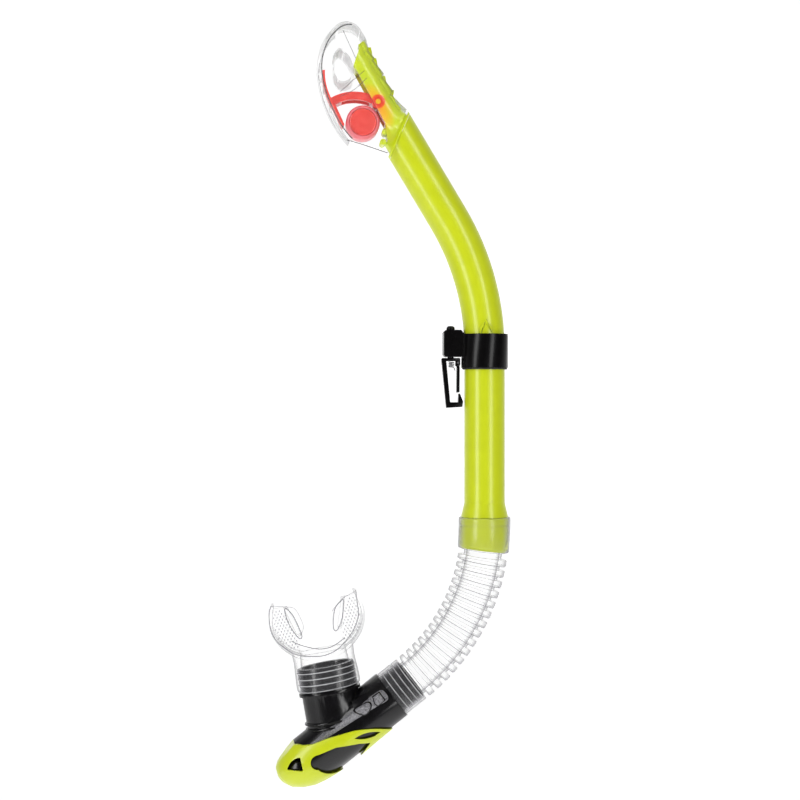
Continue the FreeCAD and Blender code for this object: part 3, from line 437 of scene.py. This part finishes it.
# %% Skins, soft curves and beads
EIGHT_ROUND = [(math.cos(k * math.pi / 4), math.sin(k * math.pi / 4)) for k in range(8)]


def add_skin(work, rings, ends="loop"):
    """Skins rings of points. ends: loop joins last to first, cap closes each end."""
    verts = [[work.verts.new(point) for point in ring] for ring in rings]
    pairs = list(zip(verts, verts[1:])) + ([(verts[-1], verts[0])] if ends == "loop" else [])
    for one, two in pairs:
        for i in range(len(one)):
            j = (i + 1) % len(one)
            work.faces.new((one[i], one[j], two[j], two[i]))
    if ends == "cap":
        work.faces.new(reversed(verts[0]))
        work.faces.new(verts[-1])


def skin(rings, name, ends="loop"):
    """One mesh from rings of points."""
    work = bmesh.new()
    add_skin(work, rings, ends)
    bmesh.ops.recalc_face_normals(work, faces=work.faces)
    return meshed(work, name)


def smooth_line(points, steps=6, closed=False):
    """More points on a soft curve through these (Catmull-Rom)."""
    count, made = len(points), []
    for i in range(count if closed else count - 1):
        p0, p1, p2, p3 = (Vector(points[(i + k) % count if closed else min(max(i + k, 0), count - 1)])
                          for k in (-1, 0, 1, 2))
        for step in range(steps):
            t = step / steps
            made.append(0.5 * (2 * p1 + (p2 - p0) * t + (2 * p0 - 5 * p1 + 4 * p2 - p3) * t * t
                               + (3 * p1 - p0 - 3 * p2 + p3) * t ** 3))
    return made if closed else made + [Vector(points[-1])]


def laid_on(node, points, place):
    """Points given as across and up, each moved onto the near face of a packed shell."""
    shell = frame["nodes"][node].data
    skin_tree = BVHTree.FromPolygons([vert.co for vert in shell.vertices],
                                     [face.vertices[:] for face in shell.polygons])
    laid, depth = [], -12.0
    for across, up in points:
        hit = skin_tree.ray_cast(place @ Vector((across, -80, up)), Vector((0, 1, 0)))[0]
        depth = hit.y / MM if hit else depth
        laid.append(Vector((across, depth, up)))
    return laid


def bead(name, points, radius, material, body, place=WHOLE, steps=6, closed=False):
    """A round bead along a soft curve through points in mm."""
    line = smooth_line(points, steps, closed)
    rings = []
    for i, spot in enumerate(line):
        ahead = line[(i + 1) % len(line)] if closed else line[min(i + 1, len(line) - 1)]
        behind = line[i - 1] if closed or i else line[0]
        along = (ahead - behind).normalized()
        side = along.cross(Vector((0, 1, 0)))
        side = side.normalized() if side.length > 0.1 else Vector((1, 0, 0))
        other = along.cross(side).normalized()
        rings.append([place @ (spot + radius * (side * x + other * y)) for x, y in EIGHT_ROUND])
    return new_piece(name, skin(rings, name, "loop" if closed else "cap"), material, body)


print("bead helpers ready")

# %% [markdown]
# ## The dry top
# Close to the pivot the lime frame is thin enough to let the red lever glow through: an
# orange-red disc where the hub lies behind, and a warm yellow haze along the channel. Real
# translucency would need the wall's true thickness everywhere, so we paint the glow from the
# distance to the pivot, which never moves.

# %% Lime frame with the hub glowing through
PIVOT = DRY_TOP @ Vector((-1.6, 0, 23.3))
GLOW_TURN = math.radians(-31)
# The frame's lime is lighter than the barrel's: a painted lift that makes up for the light the clear
# guard over it takes away.
lime_lifted_under_guard = moulded("lime_abs_painted_lift_under_guard", "cbdc10", "d3e418", 0.3, wave=9.0, lift=0.015,
                     extra={"Coat Weight": 0.12, "Coat Roughness": 0.12, "IOR": 1.5})
lime_glow = lime_lifted_under_guard.copy()
lime_glow.name = "lime_abs_thin_over_red_hub"
tree = lime_glow.node_tree
shader = tree.nodes["Principled BSDF"]
plain = shader.inputs["Base Color"].links[0].from_socket
place = add_node(tree, "ShaderNodeTexCoord")
rings = (("haze", (0.0082, 1, 0.017), DRY_TOP @ Vector((-3.4, 0, 21.0)),
          ((0.0, "f59410"), (0.5, "eebc10"), (1.0, "cfe018"))),
         ("hub", (0.0046, 1, 0.0046), PIVOT,
          ((0.0, "f2c014"), (0.28, "f2a012"), (0.38, "e42c0a"), (0.78, "ee4a0c"))))
for name, size, middle, stops in rings:
    local = add_node(tree, "ShaderNodeMapping", {"vector_type": "TEXTURE"},
                     {"Location": middle, "Rotation": (0, GLOW_TURN, 0), "Scale": size},
                     {"Vector": place.outputs["Object"]})
    flat = add_node(tree, "ShaderNodeVectorMath", {"operation": "MULTIPLY"}, {1: (1, 0, 1)},
                    {0: local.outputs["Vector"]})
    reach = add_node(tree, "ShaderNodeVectorMath", {"operation": "LENGTH"},
                     links={0: flat.outputs["Vector"]})
    ramp = add_node(tree, "ShaderNodeValToRGB", links={"Fac": reach.outputs["Value"]})
    for stop, (position, code) in enumerate(stops):
        if stop > 1:
            ramp.color_ramp.elements.new(position)
        ramp.color_ramp.elements[stop].position = position
        ramp.color_ramp.elements[stop].color = linear(code)
    fade = add_node(tree, "ShaderNodeMapRange", {"interpolation_type": "SMOOTHSTEP"},
                    {"From Min": 0.78, "From Max": 1.0, "To Min": 1.0, "To Max": 0.0},
                    {"Value": reach.outputs["Value"]})
    blend = add_node(tree, "ShaderNodeMix", {"data_type": "RGBA"},
                     links={0: fade.outputs["Result"], 6: plain, 7: ramp.outputs["Color"]})
    plain = blend.outputs[2]
tree.links.new(plain, shader.inputs["Base Color"])
print("glow round", [round(v, 4) for v in PIVOT])

# %% [markdown]
# The back of the dry top is stepped like a saw: the clear guard clips over the lime frame
# and leaves small clear tips. Both shells are cut by planes at each step, and the back half
# is then drawn in between the tips. Moving existing points keeps the walls closed, which a
# cut with a boolean would open.

# %% Saw-toothed back
BACK_STEPS = ((10.0, 1.0), (10.9, 0.93), (13.6, 0.88), (23.3, 0.76), (24.0, 0.95), (34.8, 0.84),
              (35.4, 1.0), (45.6, 0.86), (46.3, 1.0), (52.4, 0.88), (53.2, 1.0), (58.0, 1.0))
TUCK_FROM, TUCK_TO = 12, 57
FAR_WALL = (12.3, 12.7)
GUARD_MIDDLE = (-8, 38)


def back_share(up):
    """How far out the back stands at this height, as a share of its full reach."""
    if up <= BACK_STEPS[0][0] or up >= BACK_STEPS[-1][0]:
        return 1.0
    for (low, share), (high, next_share) in zip(BACK_STEPS, BACK_STEPS[1:]):
        if low <= up <= high:
            return share + (next_share - share) * (up - low) / (high - low)


def stepped(node, name, material, draft=0.0, tuck=0.0):
    """A copy of a dry-top shell with the stepped back. draft thickens the far inner wall, and
    tuck draws the stepped part in, as a share of its reach."""
    work = packed_copy(node)
    bmesh.ops.transform(work, matrix=DRY_TOP.inverted(), verts=work.verts)
    for height, _share in BACK_STEPS:
        bmesh.ops.bisect_plane(work, geom=work.verts[:] + work.edges[:] + work.faces[:],
                               dist=0.001, plane_co=(0, 0, height), plane_no=(0, 0, 1))
    for vert in work.verts:
        across, deep, up = vert.co
        if across > 0:
            inside = min(max(up - TUCK_FROM, 0) / 6, max(TUCK_TO - up, 0) / 3, 1)
            vert.co.x = across * (back_share(up) - tuck * inside)
        elif draft and FAR_WALL[0] < deep < FAR_WALL[1]:
            inward = Vector((GUARD_MIDDLE[0] - across, 0, GUARD_MIDDLE[1] - up)).normalized()
            vert.co += inward * draft
    bmesh.ops.transform(work, matrix=DRY_TOP, verts=work.verts)
    mesh = meshed(work, name)
    new_piece(name, mesh, material, "barrel", [node])
    mesh.set_sharp_from_angle(angle=math.radians(32))
    print(name, len(mesh.polygons), "faces")


stepped("top_frame", "dry_top_frame", lime_glow)
stepped("guard_cover", "splash_guard", clear_polycarbonate, draft=0.9, tuck=0.13)

# %% [markdown]
# A row of lime teeth runs down the frame's back and shows through the clear guard. They are
# one flat comb: its outline, drawn once on each side and skinned across. Modelling each tooth
# as a block would leave seams between them.

# %% Teeth on the frame's back
TOOTH_HALF = 7.0
tooth_line = [(6.6, 12.0), (8.2, 13.2), (7.4, 18.0), (8.2, 22.0), (10.4, 24.6), (8.5, 25.6),
              (9.2, 28.8), (8.4, 29.6), (10.0, 34.4), (8.6, 35.4), (9.6, 39.6), (8.9, 40.4),
              (10.9, 46.0), (9.3, 47.2), (11.5, 53.0), (9.6, 54.0), (9.9, 58.2), (6.0, 58.2)]
sides = [[DRY_TOP @ Vector((across, deep, up)) for across, up in tooth_line]
         for deep in (-TOOTH_HALF, TOOTH_HALF)]
# The teeth use the same lime, painted lighter for the guard over them.
new_piece("frame_teeth", skin(sides, "frame_teeth", "cap"), lime_lifted_under_guard, "barrel")
print("frame teeth:", len(tooth_line), "corners")

# %% [markdown]
# The guard's near wall meets its rim in a thick corner, which shows as a thin dark line just
# inside the outline. Three finer lines on the flat wall are drawn as struts. The pin that
# the lever turns on is amber, so that it stands out from the red lever and the lime frame.

# %% Rim, lower edge and struts of the guard
guard_rim = [(8.0, -12.2, 69.2), (5.0, -12.2, 70.8), (0.1, -12.2, 71.2), (-7.9, -12.2, 68.6),
             (-15.2, -12.2, 63.2), (-20.6, -12.2, 56.0), (-24.4, -12.2, 46.5), (-26.6, -12.2, 36.5),
             (-27.6, -12.2, 26.0), (-27.3, -12.2, 18.0), (-26.2, -12.2, 12.0)]
lower_edge = [(-29.2, -8.0, 13.2), (-28.5, -12.2, 12.0), (-22.0, -13.4, 4.8), (-12.8, -13.4, -5.8)]
strut_high = [(-18.6, -12.6, 38.8), (-9.0, -12.6, 40.8), (0.3, -12.6, 42.4)]
strut_low = [(-19.6, -12.6, 36.6), (-10.0, -12.6, 36.0), (-0.8, -12.6, 38.0)]
strut_back = [(1.6, -12.6, 69.0), (0.6, -12.6, 60.0), (-0.4, -12.6, 51.0)]
for name, points, radius in (("guard_inner_edge", guard_rim, 0.38),
                             ("guard_lower_edge", lower_edge, 0.25),
                             ("guard_strut_high", strut_high, 0.17),
                             ("guard_strut_low", strut_low, 0.17),
                             ("guard_strut_back", strut_back, 0.17)):
    bead(name, points, radius, polycarbonate_edge, "barrel", DRY_TOP)
amber_pin = moulded("amber_acetal_pin", "e8b010", "f4c41c", 0.3, wave=1.0)
dressed("pivot_pin", amber_pin)
print("guard lined, pin dressed")

# %% [markdown]
# Just above the keeper the mould leaves a low chevron on the barrel, which shows how high
# the strap should sit. Its bead is a darker lime than the barrel: painted shade along the
# low ridge.

# %% Chevron on the barrel
chevron = [(15.4, 28.4), (16.4, 32.0), (17.6, 35.4), (18.6, 37.7), (19.7, 35.2), (20.8, 32.6),
           (21.9, 30.4)]
# A darker lime for the chevron's bead: painted shade along the ridge.
lime_shade_line = moulded("lime_abs_painted_shade_line", "8a980a", "95a410", 0.35, wave=3.0)
bead("barrel_chevron", laid_on("barrel_tube", chevron, WHOLE), 0.2, lime_shade_line, "barrel")
print("chevron laid on the barrel")

# %% [markdown]
# ## The corrugated hose
# The hose is thin clear silicone with square ribs, so that it bends without kinking. We
# draw half of its section once, as a run along the hose against a radius, and carry it round
# the bend. A screw or array modifier could repeat a rib too, but one section keeps cuffs,
# ribs and the thin wall between them as a single skin.


# %% The hose's path and section
BARREL_X, HOSE_START, BEND_RADIUS, BEND_TURN = 19.05, -85.5, 112.7, math.radians(52)
BEND_RUN = BEND_RADIUS * BEND_TURN
ROUND = 72


def hose_ring(run, radius):
    """A ring round the hose, at a run in mm below where its bend starts."""
    turn = min(max(run / BEND_RADIUS, 0), BEND_TURN)
    past = run - turn * BEND_RADIUS
    out = Vector((math.cos(turn), 0, -math.sin(turn)))
    down = Vector((-math.sin(turn), 0, -math.cos(turn)))
    middle = Vector((BARREL_X - BEND_RADIUS, 0, HOSE_START)) + out * BEND_RADIUS + down * past
    points = []
    for step in range(ROUND):
        angle = 2 * math.pi * step / ROUND
        reach = out * math.cos(angle) + Vector((0, 1, 0)) * math.sin(angle)
        points.append((middle + reach * radius) * MM)
    return points


section = [(-6.5, 14.75), (-6.5, 15.0), (-6.1, 15.45), (-2.2, 15.45), (-1.9, 15.1), (-1.5, 15.1),
           (-1.2, 15.45), (12.4, 15.4), (13.0, 15.1), (13.5, 14.2), (14.0, 11.5)]
RIB_FIRST, RIB_PITCH, RIB_WIDE, RIB_COUNT = 16.92, 5.704, 3.54, 15
for rib in range(RIB_COUNT):
    top = RIB_FIRST + RIB_PITCH * rib
    low = top + RIB_WIDE
    section += [(top - 0.2, 11.3), (top, 11.5), (top + 0.1, 14.4), (top + 0.4, 14.75),
                (low - 0.4, 14.75), (low - 0.1, 14.4), (low, 11.5), (low + 0.2, 11.3)]
section += [(BEND_RUN, 11.4), (BEND_RUN + 0.2, 14.2), (BEND_RUN + 0.6, 14.6),
            (BEND_RUN + 4.6, 14.6), (BEND_RUN + 4.9, 14.25), (BEND_RUN + 5.3, 14.25),
            (BEND_RUN + 5.6, 14.6), (BEND_RUN + 14.2, 14.6), (BEND_RUN + 14.6, 14.2),
            (BEND_RUN + 14.6, 13.2), (BEND_RUN + 0.9, 13.2), (BEND_RUN + 0.6, 10.1)]
section += [(BEND_RUN - step * 3.0, 10.0) for step in range(1, 30)]
section += [(13.2, 10.1), (12.9, 14.75)]
hose_mesh = skin([hose_ring(run, radius) for run, radius in section], "ribbed_hose")
hose = new_piece("ribbed_hose", hose_mesh, clear_silicone, None)
hose_mesh.set_sharp_from_angle(angle=math.radians(40))
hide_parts("flex_hose")
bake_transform(hose)
print("hose:", len(hose_mesh.polygons), "faces,", RIB_COUNT, "ribs")

# %% [markdown]
# The barrel's foot is wider than the barrel and fills the cuff that grips it. Each rib also
# gets a thin grey band across its near side: painted shade for the grey line that the rib's
# edge shows on so clear a hose.

# %% Foot in the cuff and painted shade lines on the ribs
LINE_RADIUS, LINE_HALF = 14.72, 0.13
foot_section = [(-6.2, 13.0), (-6.2, 14.3), (-5.6, 14.65), (11.2, 14.65), (12.3, 14.0),
                (12.6, 12.6), (11.0, 12.4), (0.0, 12.6)]
work = bmesh.new()
# One grey band of painted shade at the near corner of each rib.
for rib in range(RIB_COUNT):
    low = RIB_FIRST + RIB_PITCH * rib + RIB_WIDE
    corners = [hose_ring(low + LINE_HALF * along, LINE_RADIUS + LINE_HALF * out)
               for along, out in ((-1, 0), (0, 1), (1, 0), (0, -1))]
    rows = [[ring[step % ROUND] for ring in corners] for step in range(ROUND // 2 + 4, ROUND - 3)]
    work.from_mesh(skin(rows, "rib_painted_shade_band", "cap"))
foot_mesh = skin([hose_ring(run, radius) for run, radius in foot_section], "barrel_foot")
for name, mesh, material, slot_name in (
        ("rib_painted_shade_lines", meshed(work, "rib_painted_shade_lines"), silicone_edge, "clear_silicone"),
        ("barrel_foot", foot_mesh, lime_abs, "lime_plastic")):
    piece = new_piece(name, mesh, material, None)
    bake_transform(piece)
print("foot in the cuff and", RIB_COUNT, "mould lines")

# %% [markdown]
# Inside each silicone cuff are fine sealing ridges that bite on the port. Against the dark
# port they are drawn as near-white rings, four on the oval mouth port and four on the round
# one: real ridges, whose pale colour is painted highlight for the light lines at their crests.
# Two stouter rings strengthen the foot of the mouth port.

# %% Sealing ridges
RIDGE_POINTS = 96


def ridge_rings(name, place, half_across, half_deep, heights, tube, material, body):
    """Oval beads round a port, one at each height, joined as one piece."""
    work = bmesh.new()
    for height in heights:
        rings = []
        for step in range(RIDGE_POINTS):
            turn = 2 * math.pi * step / RIDGE_POINTS
            right, back = math.cos(turn), math.sin(turn)
            spot = Vector((half_across * right, half_deep * back, height))
            away = Vector((right / half_across, back / half_deep, 0)).normalized()
            rings.append([place @ (spot + tube * (away * x + Vector((0, 0, y))))
                          for x, y in EIGHT_ROUND])
        add_skin(work, rings)
    bmesh.ops.recalc_face_normals(work, faces=work.faces)
    print(name, len(heights), "rings")
    return new_piece(name, meshed(work, name), material, body)


ridge_rings("mouth_port_ridges", MOUTH, 17.15, 12.75, (-2.0, -5.6, -9.2, -13.0), 0.28,
            silicone_ridge_highlight, "chamber")
ridge_rings("hose_port_ridges", CHAMBER, 12.85, 12.85, (-13.6, -10.4, -6.8, -3.2), 0.26,
            silicone_ridge_highlight, "chamber")
ridge_rings("mouth_port_foot", MOUTH, 17.2, 12.8, (-32.2, -35.4), 0.8, black_abs,
            "chamber")

# %% [markdown]
# ## The purge chamber
# Along its near side the chamber has a flat, sparkle-textured facet with two low finger
# pads, each edged by a dark groove. Their grey is painted sheen, the soft light on the
# facets, over the spark texture in the tone and the bump. The facet is drawn as an outline
# on the unrolled side and laid on the cylinder, then given a little thickness.


# %% Facet and pads
CHAMBER_RADIUS = 15.3
# Grey for the facet and pads: painted sheen over a real spark texture.
grey_sheen_spark = moulded("grey_painted_sheen_spark_eroded", "4c4b50", "9c9b9f", 0.42, wave=0.7, lift=0.25)


def side_plate(name, outline, lift, thick, material):
    """A thin plate on the chamber's near side, from an outline in mm: across, along."""
    work = bmesh.new()
    work.faces.new([work.verts.new((across, 0, along)) for across, along in outline])
    for cut in range(-14, 15):
        bmesh.ops.bisect_plane(work, geom=work.verts[:] + work.edges[:] + work.faces[:],
                               plane_co=(cut, 0, 0), plane_no=(1, 0, 0), dist=0.001)
    for vert in work.verts:
        reach = CHAMBER_RADIUS + lift
        vert.co.y = -math.sqrt(max(reach * reach - vert.co.x ** 2, 1))
    bmesh.ops.recalc_face_normals(work, faces=work.faces)
    if sum(face.normal.y for face in work.faces) > 0:
        bmesh.ops.reverse_faces(work, faces=work.faces)
    bmesh.ops.transform(work, matrix=CHAMBER, verts=work.verts)
    plate = new_piece(name, meshed(work, name), material, "chamber")
    shell = plate.modifiers.new("thickness", "SOLIDIFY")
    shell.thickness, shell.offset = thick * MM, -1
    return applied(plate)


facet = [(9.6, 46.8), (9.4, 33.0), (9.0, 22.8), (8.9, 14.0), (8.9, 6.3), (7.7, 2.0), (2.0, 2.4),
         (2.6, 10.2), (4.0, 21.9), (5.0, 32.0), (6.2, 44.0), (7.9, 54.0)]
round_pad = [(8.6, 22.2), (8.7, 17.9), (7.6, 13.0), (5.4, 12.6), (3.4, 15.6), (3.6, 19.3)]
square_pad = [(8.2, 8.8), (8.0, 4.4), (2.8, 4.4), (2.6, 9.6), (4.6, 10.2)]
side_plate("chamber_facet", smooth_line(facet, 4, True), 0.2, 0.5, grey_sheen_spark)
for name, outline in (("round_pad", round_pad), ("square_pad", square_pad)):
    middle = sum((Vector(p) for p in outline), Vector((0, 0))) / len(outline)
    grown = [middle + (Vector(p) - middle) * 1.16 for p in outline]
    bends = 3 if name == "round_pad" else 1
    side_plate(name + "_groove", smooth_line(grown, bends, True), 0.32, 0.4, black_abs)
    shrunk = [middle + (Vector(p) - middle) * 0.94 for p in outline]
    side_plate(name, smooth_line(shrunk, bends, True), 0.48, 0.5, grey_sheen_spark)
saddle = [(15.2, -11.6, 48.0), (13.3, -12.1, 44.2), (12.7, -12.3, 39.0), (13.4, -12.1, 33.5),
          (14.6, -11.5, 30.4)]
bead("port_saddle_line", saddle, 0.22, black_abs, "chamber", CHAMBER)
print("facet and two pads laid on the chamber")

# %% [markdown]
# Behind the openings of the purge cover sits a black dome that keeps sand off the valve. It
# fills the view through the little window. Its foot is trimmed flat, as the cover is.

# %% Inner purge dome
DOME = ((11.8, 64.8), (11.8, 68.0), (10.8, 72.0), (8.6, 75.6), (5.4, 78.2), (2.6, 79.2),
        (0.6, 79.5), (0.6, 78.6), (4.8, 77.4), (7.8, 75.0), (9.8, 71.8), (10.8, 68.0), (10.8, 64.8))
FLAT_FOOT = -0.2332
rings = []
for radius, along in DOME:
    turns = [math.pi * k / 24 for k in range(48)]
    ring = [CHAMBER @ Vector((radius * math.cos(a), radius * math.sin(a), along)) for a in turns]
    for point in ring:
        point.z = max(point.z, FLAT_FOOT)
    rings.append(ring)
new_piece("purge_dome", skin(rings, "purge_dome"), black_abs, "chamber")
print("purge dome:", len(DOME), "rings")

# %% [markdown]
# ## The mouthpiece
# Soft silicone has no sharp edge anywhere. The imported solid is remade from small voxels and
# relaxed, so that every rim becomes round. A bevel would have to follow each edge of the
# curved shield, and voxels round all of them in one go.

# %% Softened silicone
def softened(node, name, material, voxel=0.5, rounds=6):
    """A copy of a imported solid, remade in voxels and relaxed until its edges are round."""
    body = frame["nodes"][node]["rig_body"]
    piece = new_piece(name, meshed(packed_copy(node), name), material, body, [node])
    remesh = piece.modifiers.new("voxels", "REMESH")
    remesh.mode, remesh.voxel_size, remesh.use_smooth_shade = "VOXEL", voxel * MM, True
    relax = piece.modifiers.new("relax", "SMOOTH")
    relax.factor, relax.iterations = 0.5, rounds
    applied(piece)
    print(name, len(piece.data.polygons), "faces")


softened("mouthpiece", "silicone_mouthpiece", clear_silicone)

# %% [markdown]
# The lip shield's rim is a thickened bead, and so is the step where the shield meets the
# neck. Each bite plate ends in a thin edge and carries a lens-shaped ridge that the teeth
# close behind. The shield's beads are laid on its surface, because it is curved; the plates
# are flat, so their lines can lie at one depth.

# %% Rims of the lip shield, plate edges and bite ridges
RIM_RADIUS, EDGE_RADIUS, RIDGE_RADIUS = 0.3, 0.17, 0.34
EDGE_DEPTH, RIDGE_DEPTH = -5.4, -5.7
outer_rim = [(-25.0, 41.4), (-26.8, 37.6), (-27.5, 32.0), (-27.2, 26.0), (-24.8, 20.0),
             (-20.2, 14.8), (-16.0, 11.2), (-9.0, 8.5), (-0.4, 7.5), (7.6, 9.0), (14.4, 12.0),
             (19.0, 16.4), (22.6, 21.4), (24.7, 27.0), (25.0, 34.0), (25.4, 40.6)]
inner_rim = [(-17.0, 17.6), (-11.0, 13.8), (-2.0, 10.2), (5.9, 10.2), (14.0, 13.8)]
left_edge = [(-25.0, 40.6), (-17.9, 38.9), (-11.6, 36.3), (-8.8, 27.6), (-9.0, 23.8), (-11.5, 20.3)]
right_edge = [(9.4, 31.0), (11.0, 32.8), (17.1, 37.4), (25.0, 40.4)]
left_ridge = [(-17.5, 37.8), (-14.5, 34.8), (-12.6, 30.2), (-10.4, 20.6), (-12.0, 18.9),
              (-14.6, 23.0), (-17.2, 30.4)]
right_ridge = [(11.2, 32.0), (16.6, 36.8), (16.9, 34.8), (14.6, 26.2), (10.6, 19.8), (8.6, 21.6)]


def at_depth(outline, depth):
    """An outline given as across and up, all at one depth."""
    return [(across, depth, up) for across, up in outline]


for name, points, radius, closed in (
        ("shield_outer_rim", laid_on("mouthpiece", outer_rim, MOUTH), RIM_RADIUS, False),
        ("shield_inner_rim", laid_on("mouthpiece", inner_rim, MOUTH), RIM_RADIUS, False),
        ("left_plate_edge", at_depth(left_edge, EDGE_DEPTH), EDGE_RADIUS, False),
        ("right_plate_edge", at_depth(right_edge, EDGE_DEPTH), EDGE_RADIUS, False),
        ("bite_ridge_left", at_depth(left_ridge, RIDGE_DEPTH), RIDGE_RADIUS, True),
        ("bite_ridge_right", at_depth(right_ridge, RIDGE_DEPTH), RIDGE_RADIUS, True)):
    bead(name, points, radius, silicone_edge, "chamber", MOUTH, closed=closed)
print("mouthpiece rims and ridges laid")

# %% [markdown]
# The bite plates carry rows of small pips that keep the teeth from sliding. Each is a real
# low dome, about a millimetre wide, on both faces of the plate. They are set out in
# staggered rows, and a small test leaves out those that would stand on a rim or a ridge. A
# bump map could draw them, but the outline of clear rubber shows every one of them.

# %% Pips on the bite plates
PIP_PITCH, PIP_RADIUS, PLATE_HALF = 2.0, 0.5, 1.62
ROW_RISE, ROW_COUNT, FIRST_ROW, COLUMNS = 0.87, 16, 10, 14
PIP_PROFILE = ((PIP_RADIUS, -0.2), (PIP_RADIUS, 0.12), (0.32, 0.34))


def on_plate(across, up):
    """Whether a point lies on a bite plate, clear of its rim and of the ridge."""
    side = abs(across)
    # The plates part in the middle and lean outwards as they rise, and the ridges with them.
    gap = 11.4 + 6.2 * (up - 20.2) / 24.8 if up > 20.2 else 11.4 + 2.2 * (20.2 - up) / 10.2
    ridge = 12.0 + 5.2 * (up - 20.1) / 17.3
    if not 12 < up < 36.6 or side < gap + 1.0:
        return False
    if 18.5 < up and abs(side - ridge) < 2.2:
        return False
    reach = 20.0 if up < 27 else 60.0
    return (side / 25.6) ** 2 + ((up - 27) / reach) ** 2 < 1


work = bmesh.new()
pips = 0
for row in range(ROW_COUNT):
    up = FIRST_ROW + row * PIP_PITCH * ROW_RISE
    for column in range(-COLUMNS, COLUMNS + 1):
        across = (column + (row % 2) / 2) * PIP_PITCH
        if not on_plate(across, up):
            continue
        for face in (-1, 1):
            rings = [[MOUTH @ Vector((across + radius * x, face * (PLATE_HALF + rise), up + radius * y))
                      for x, y in EIGHT_ROUND] for radius, rise in PIP_PROFILE]
            add_skin(work, rings, "cap")
        pips += 1
bmesh.ops.recalc_face_normals(work, faces=work.faces)
# The pips wear the pale ridge silicone, whose near-white is painted highlight.
new_piece("bite_pips", meshed(work, "bite_pips"), silicone_ridge_highlight, "chamber")
print("pips:", pips, "on each face")
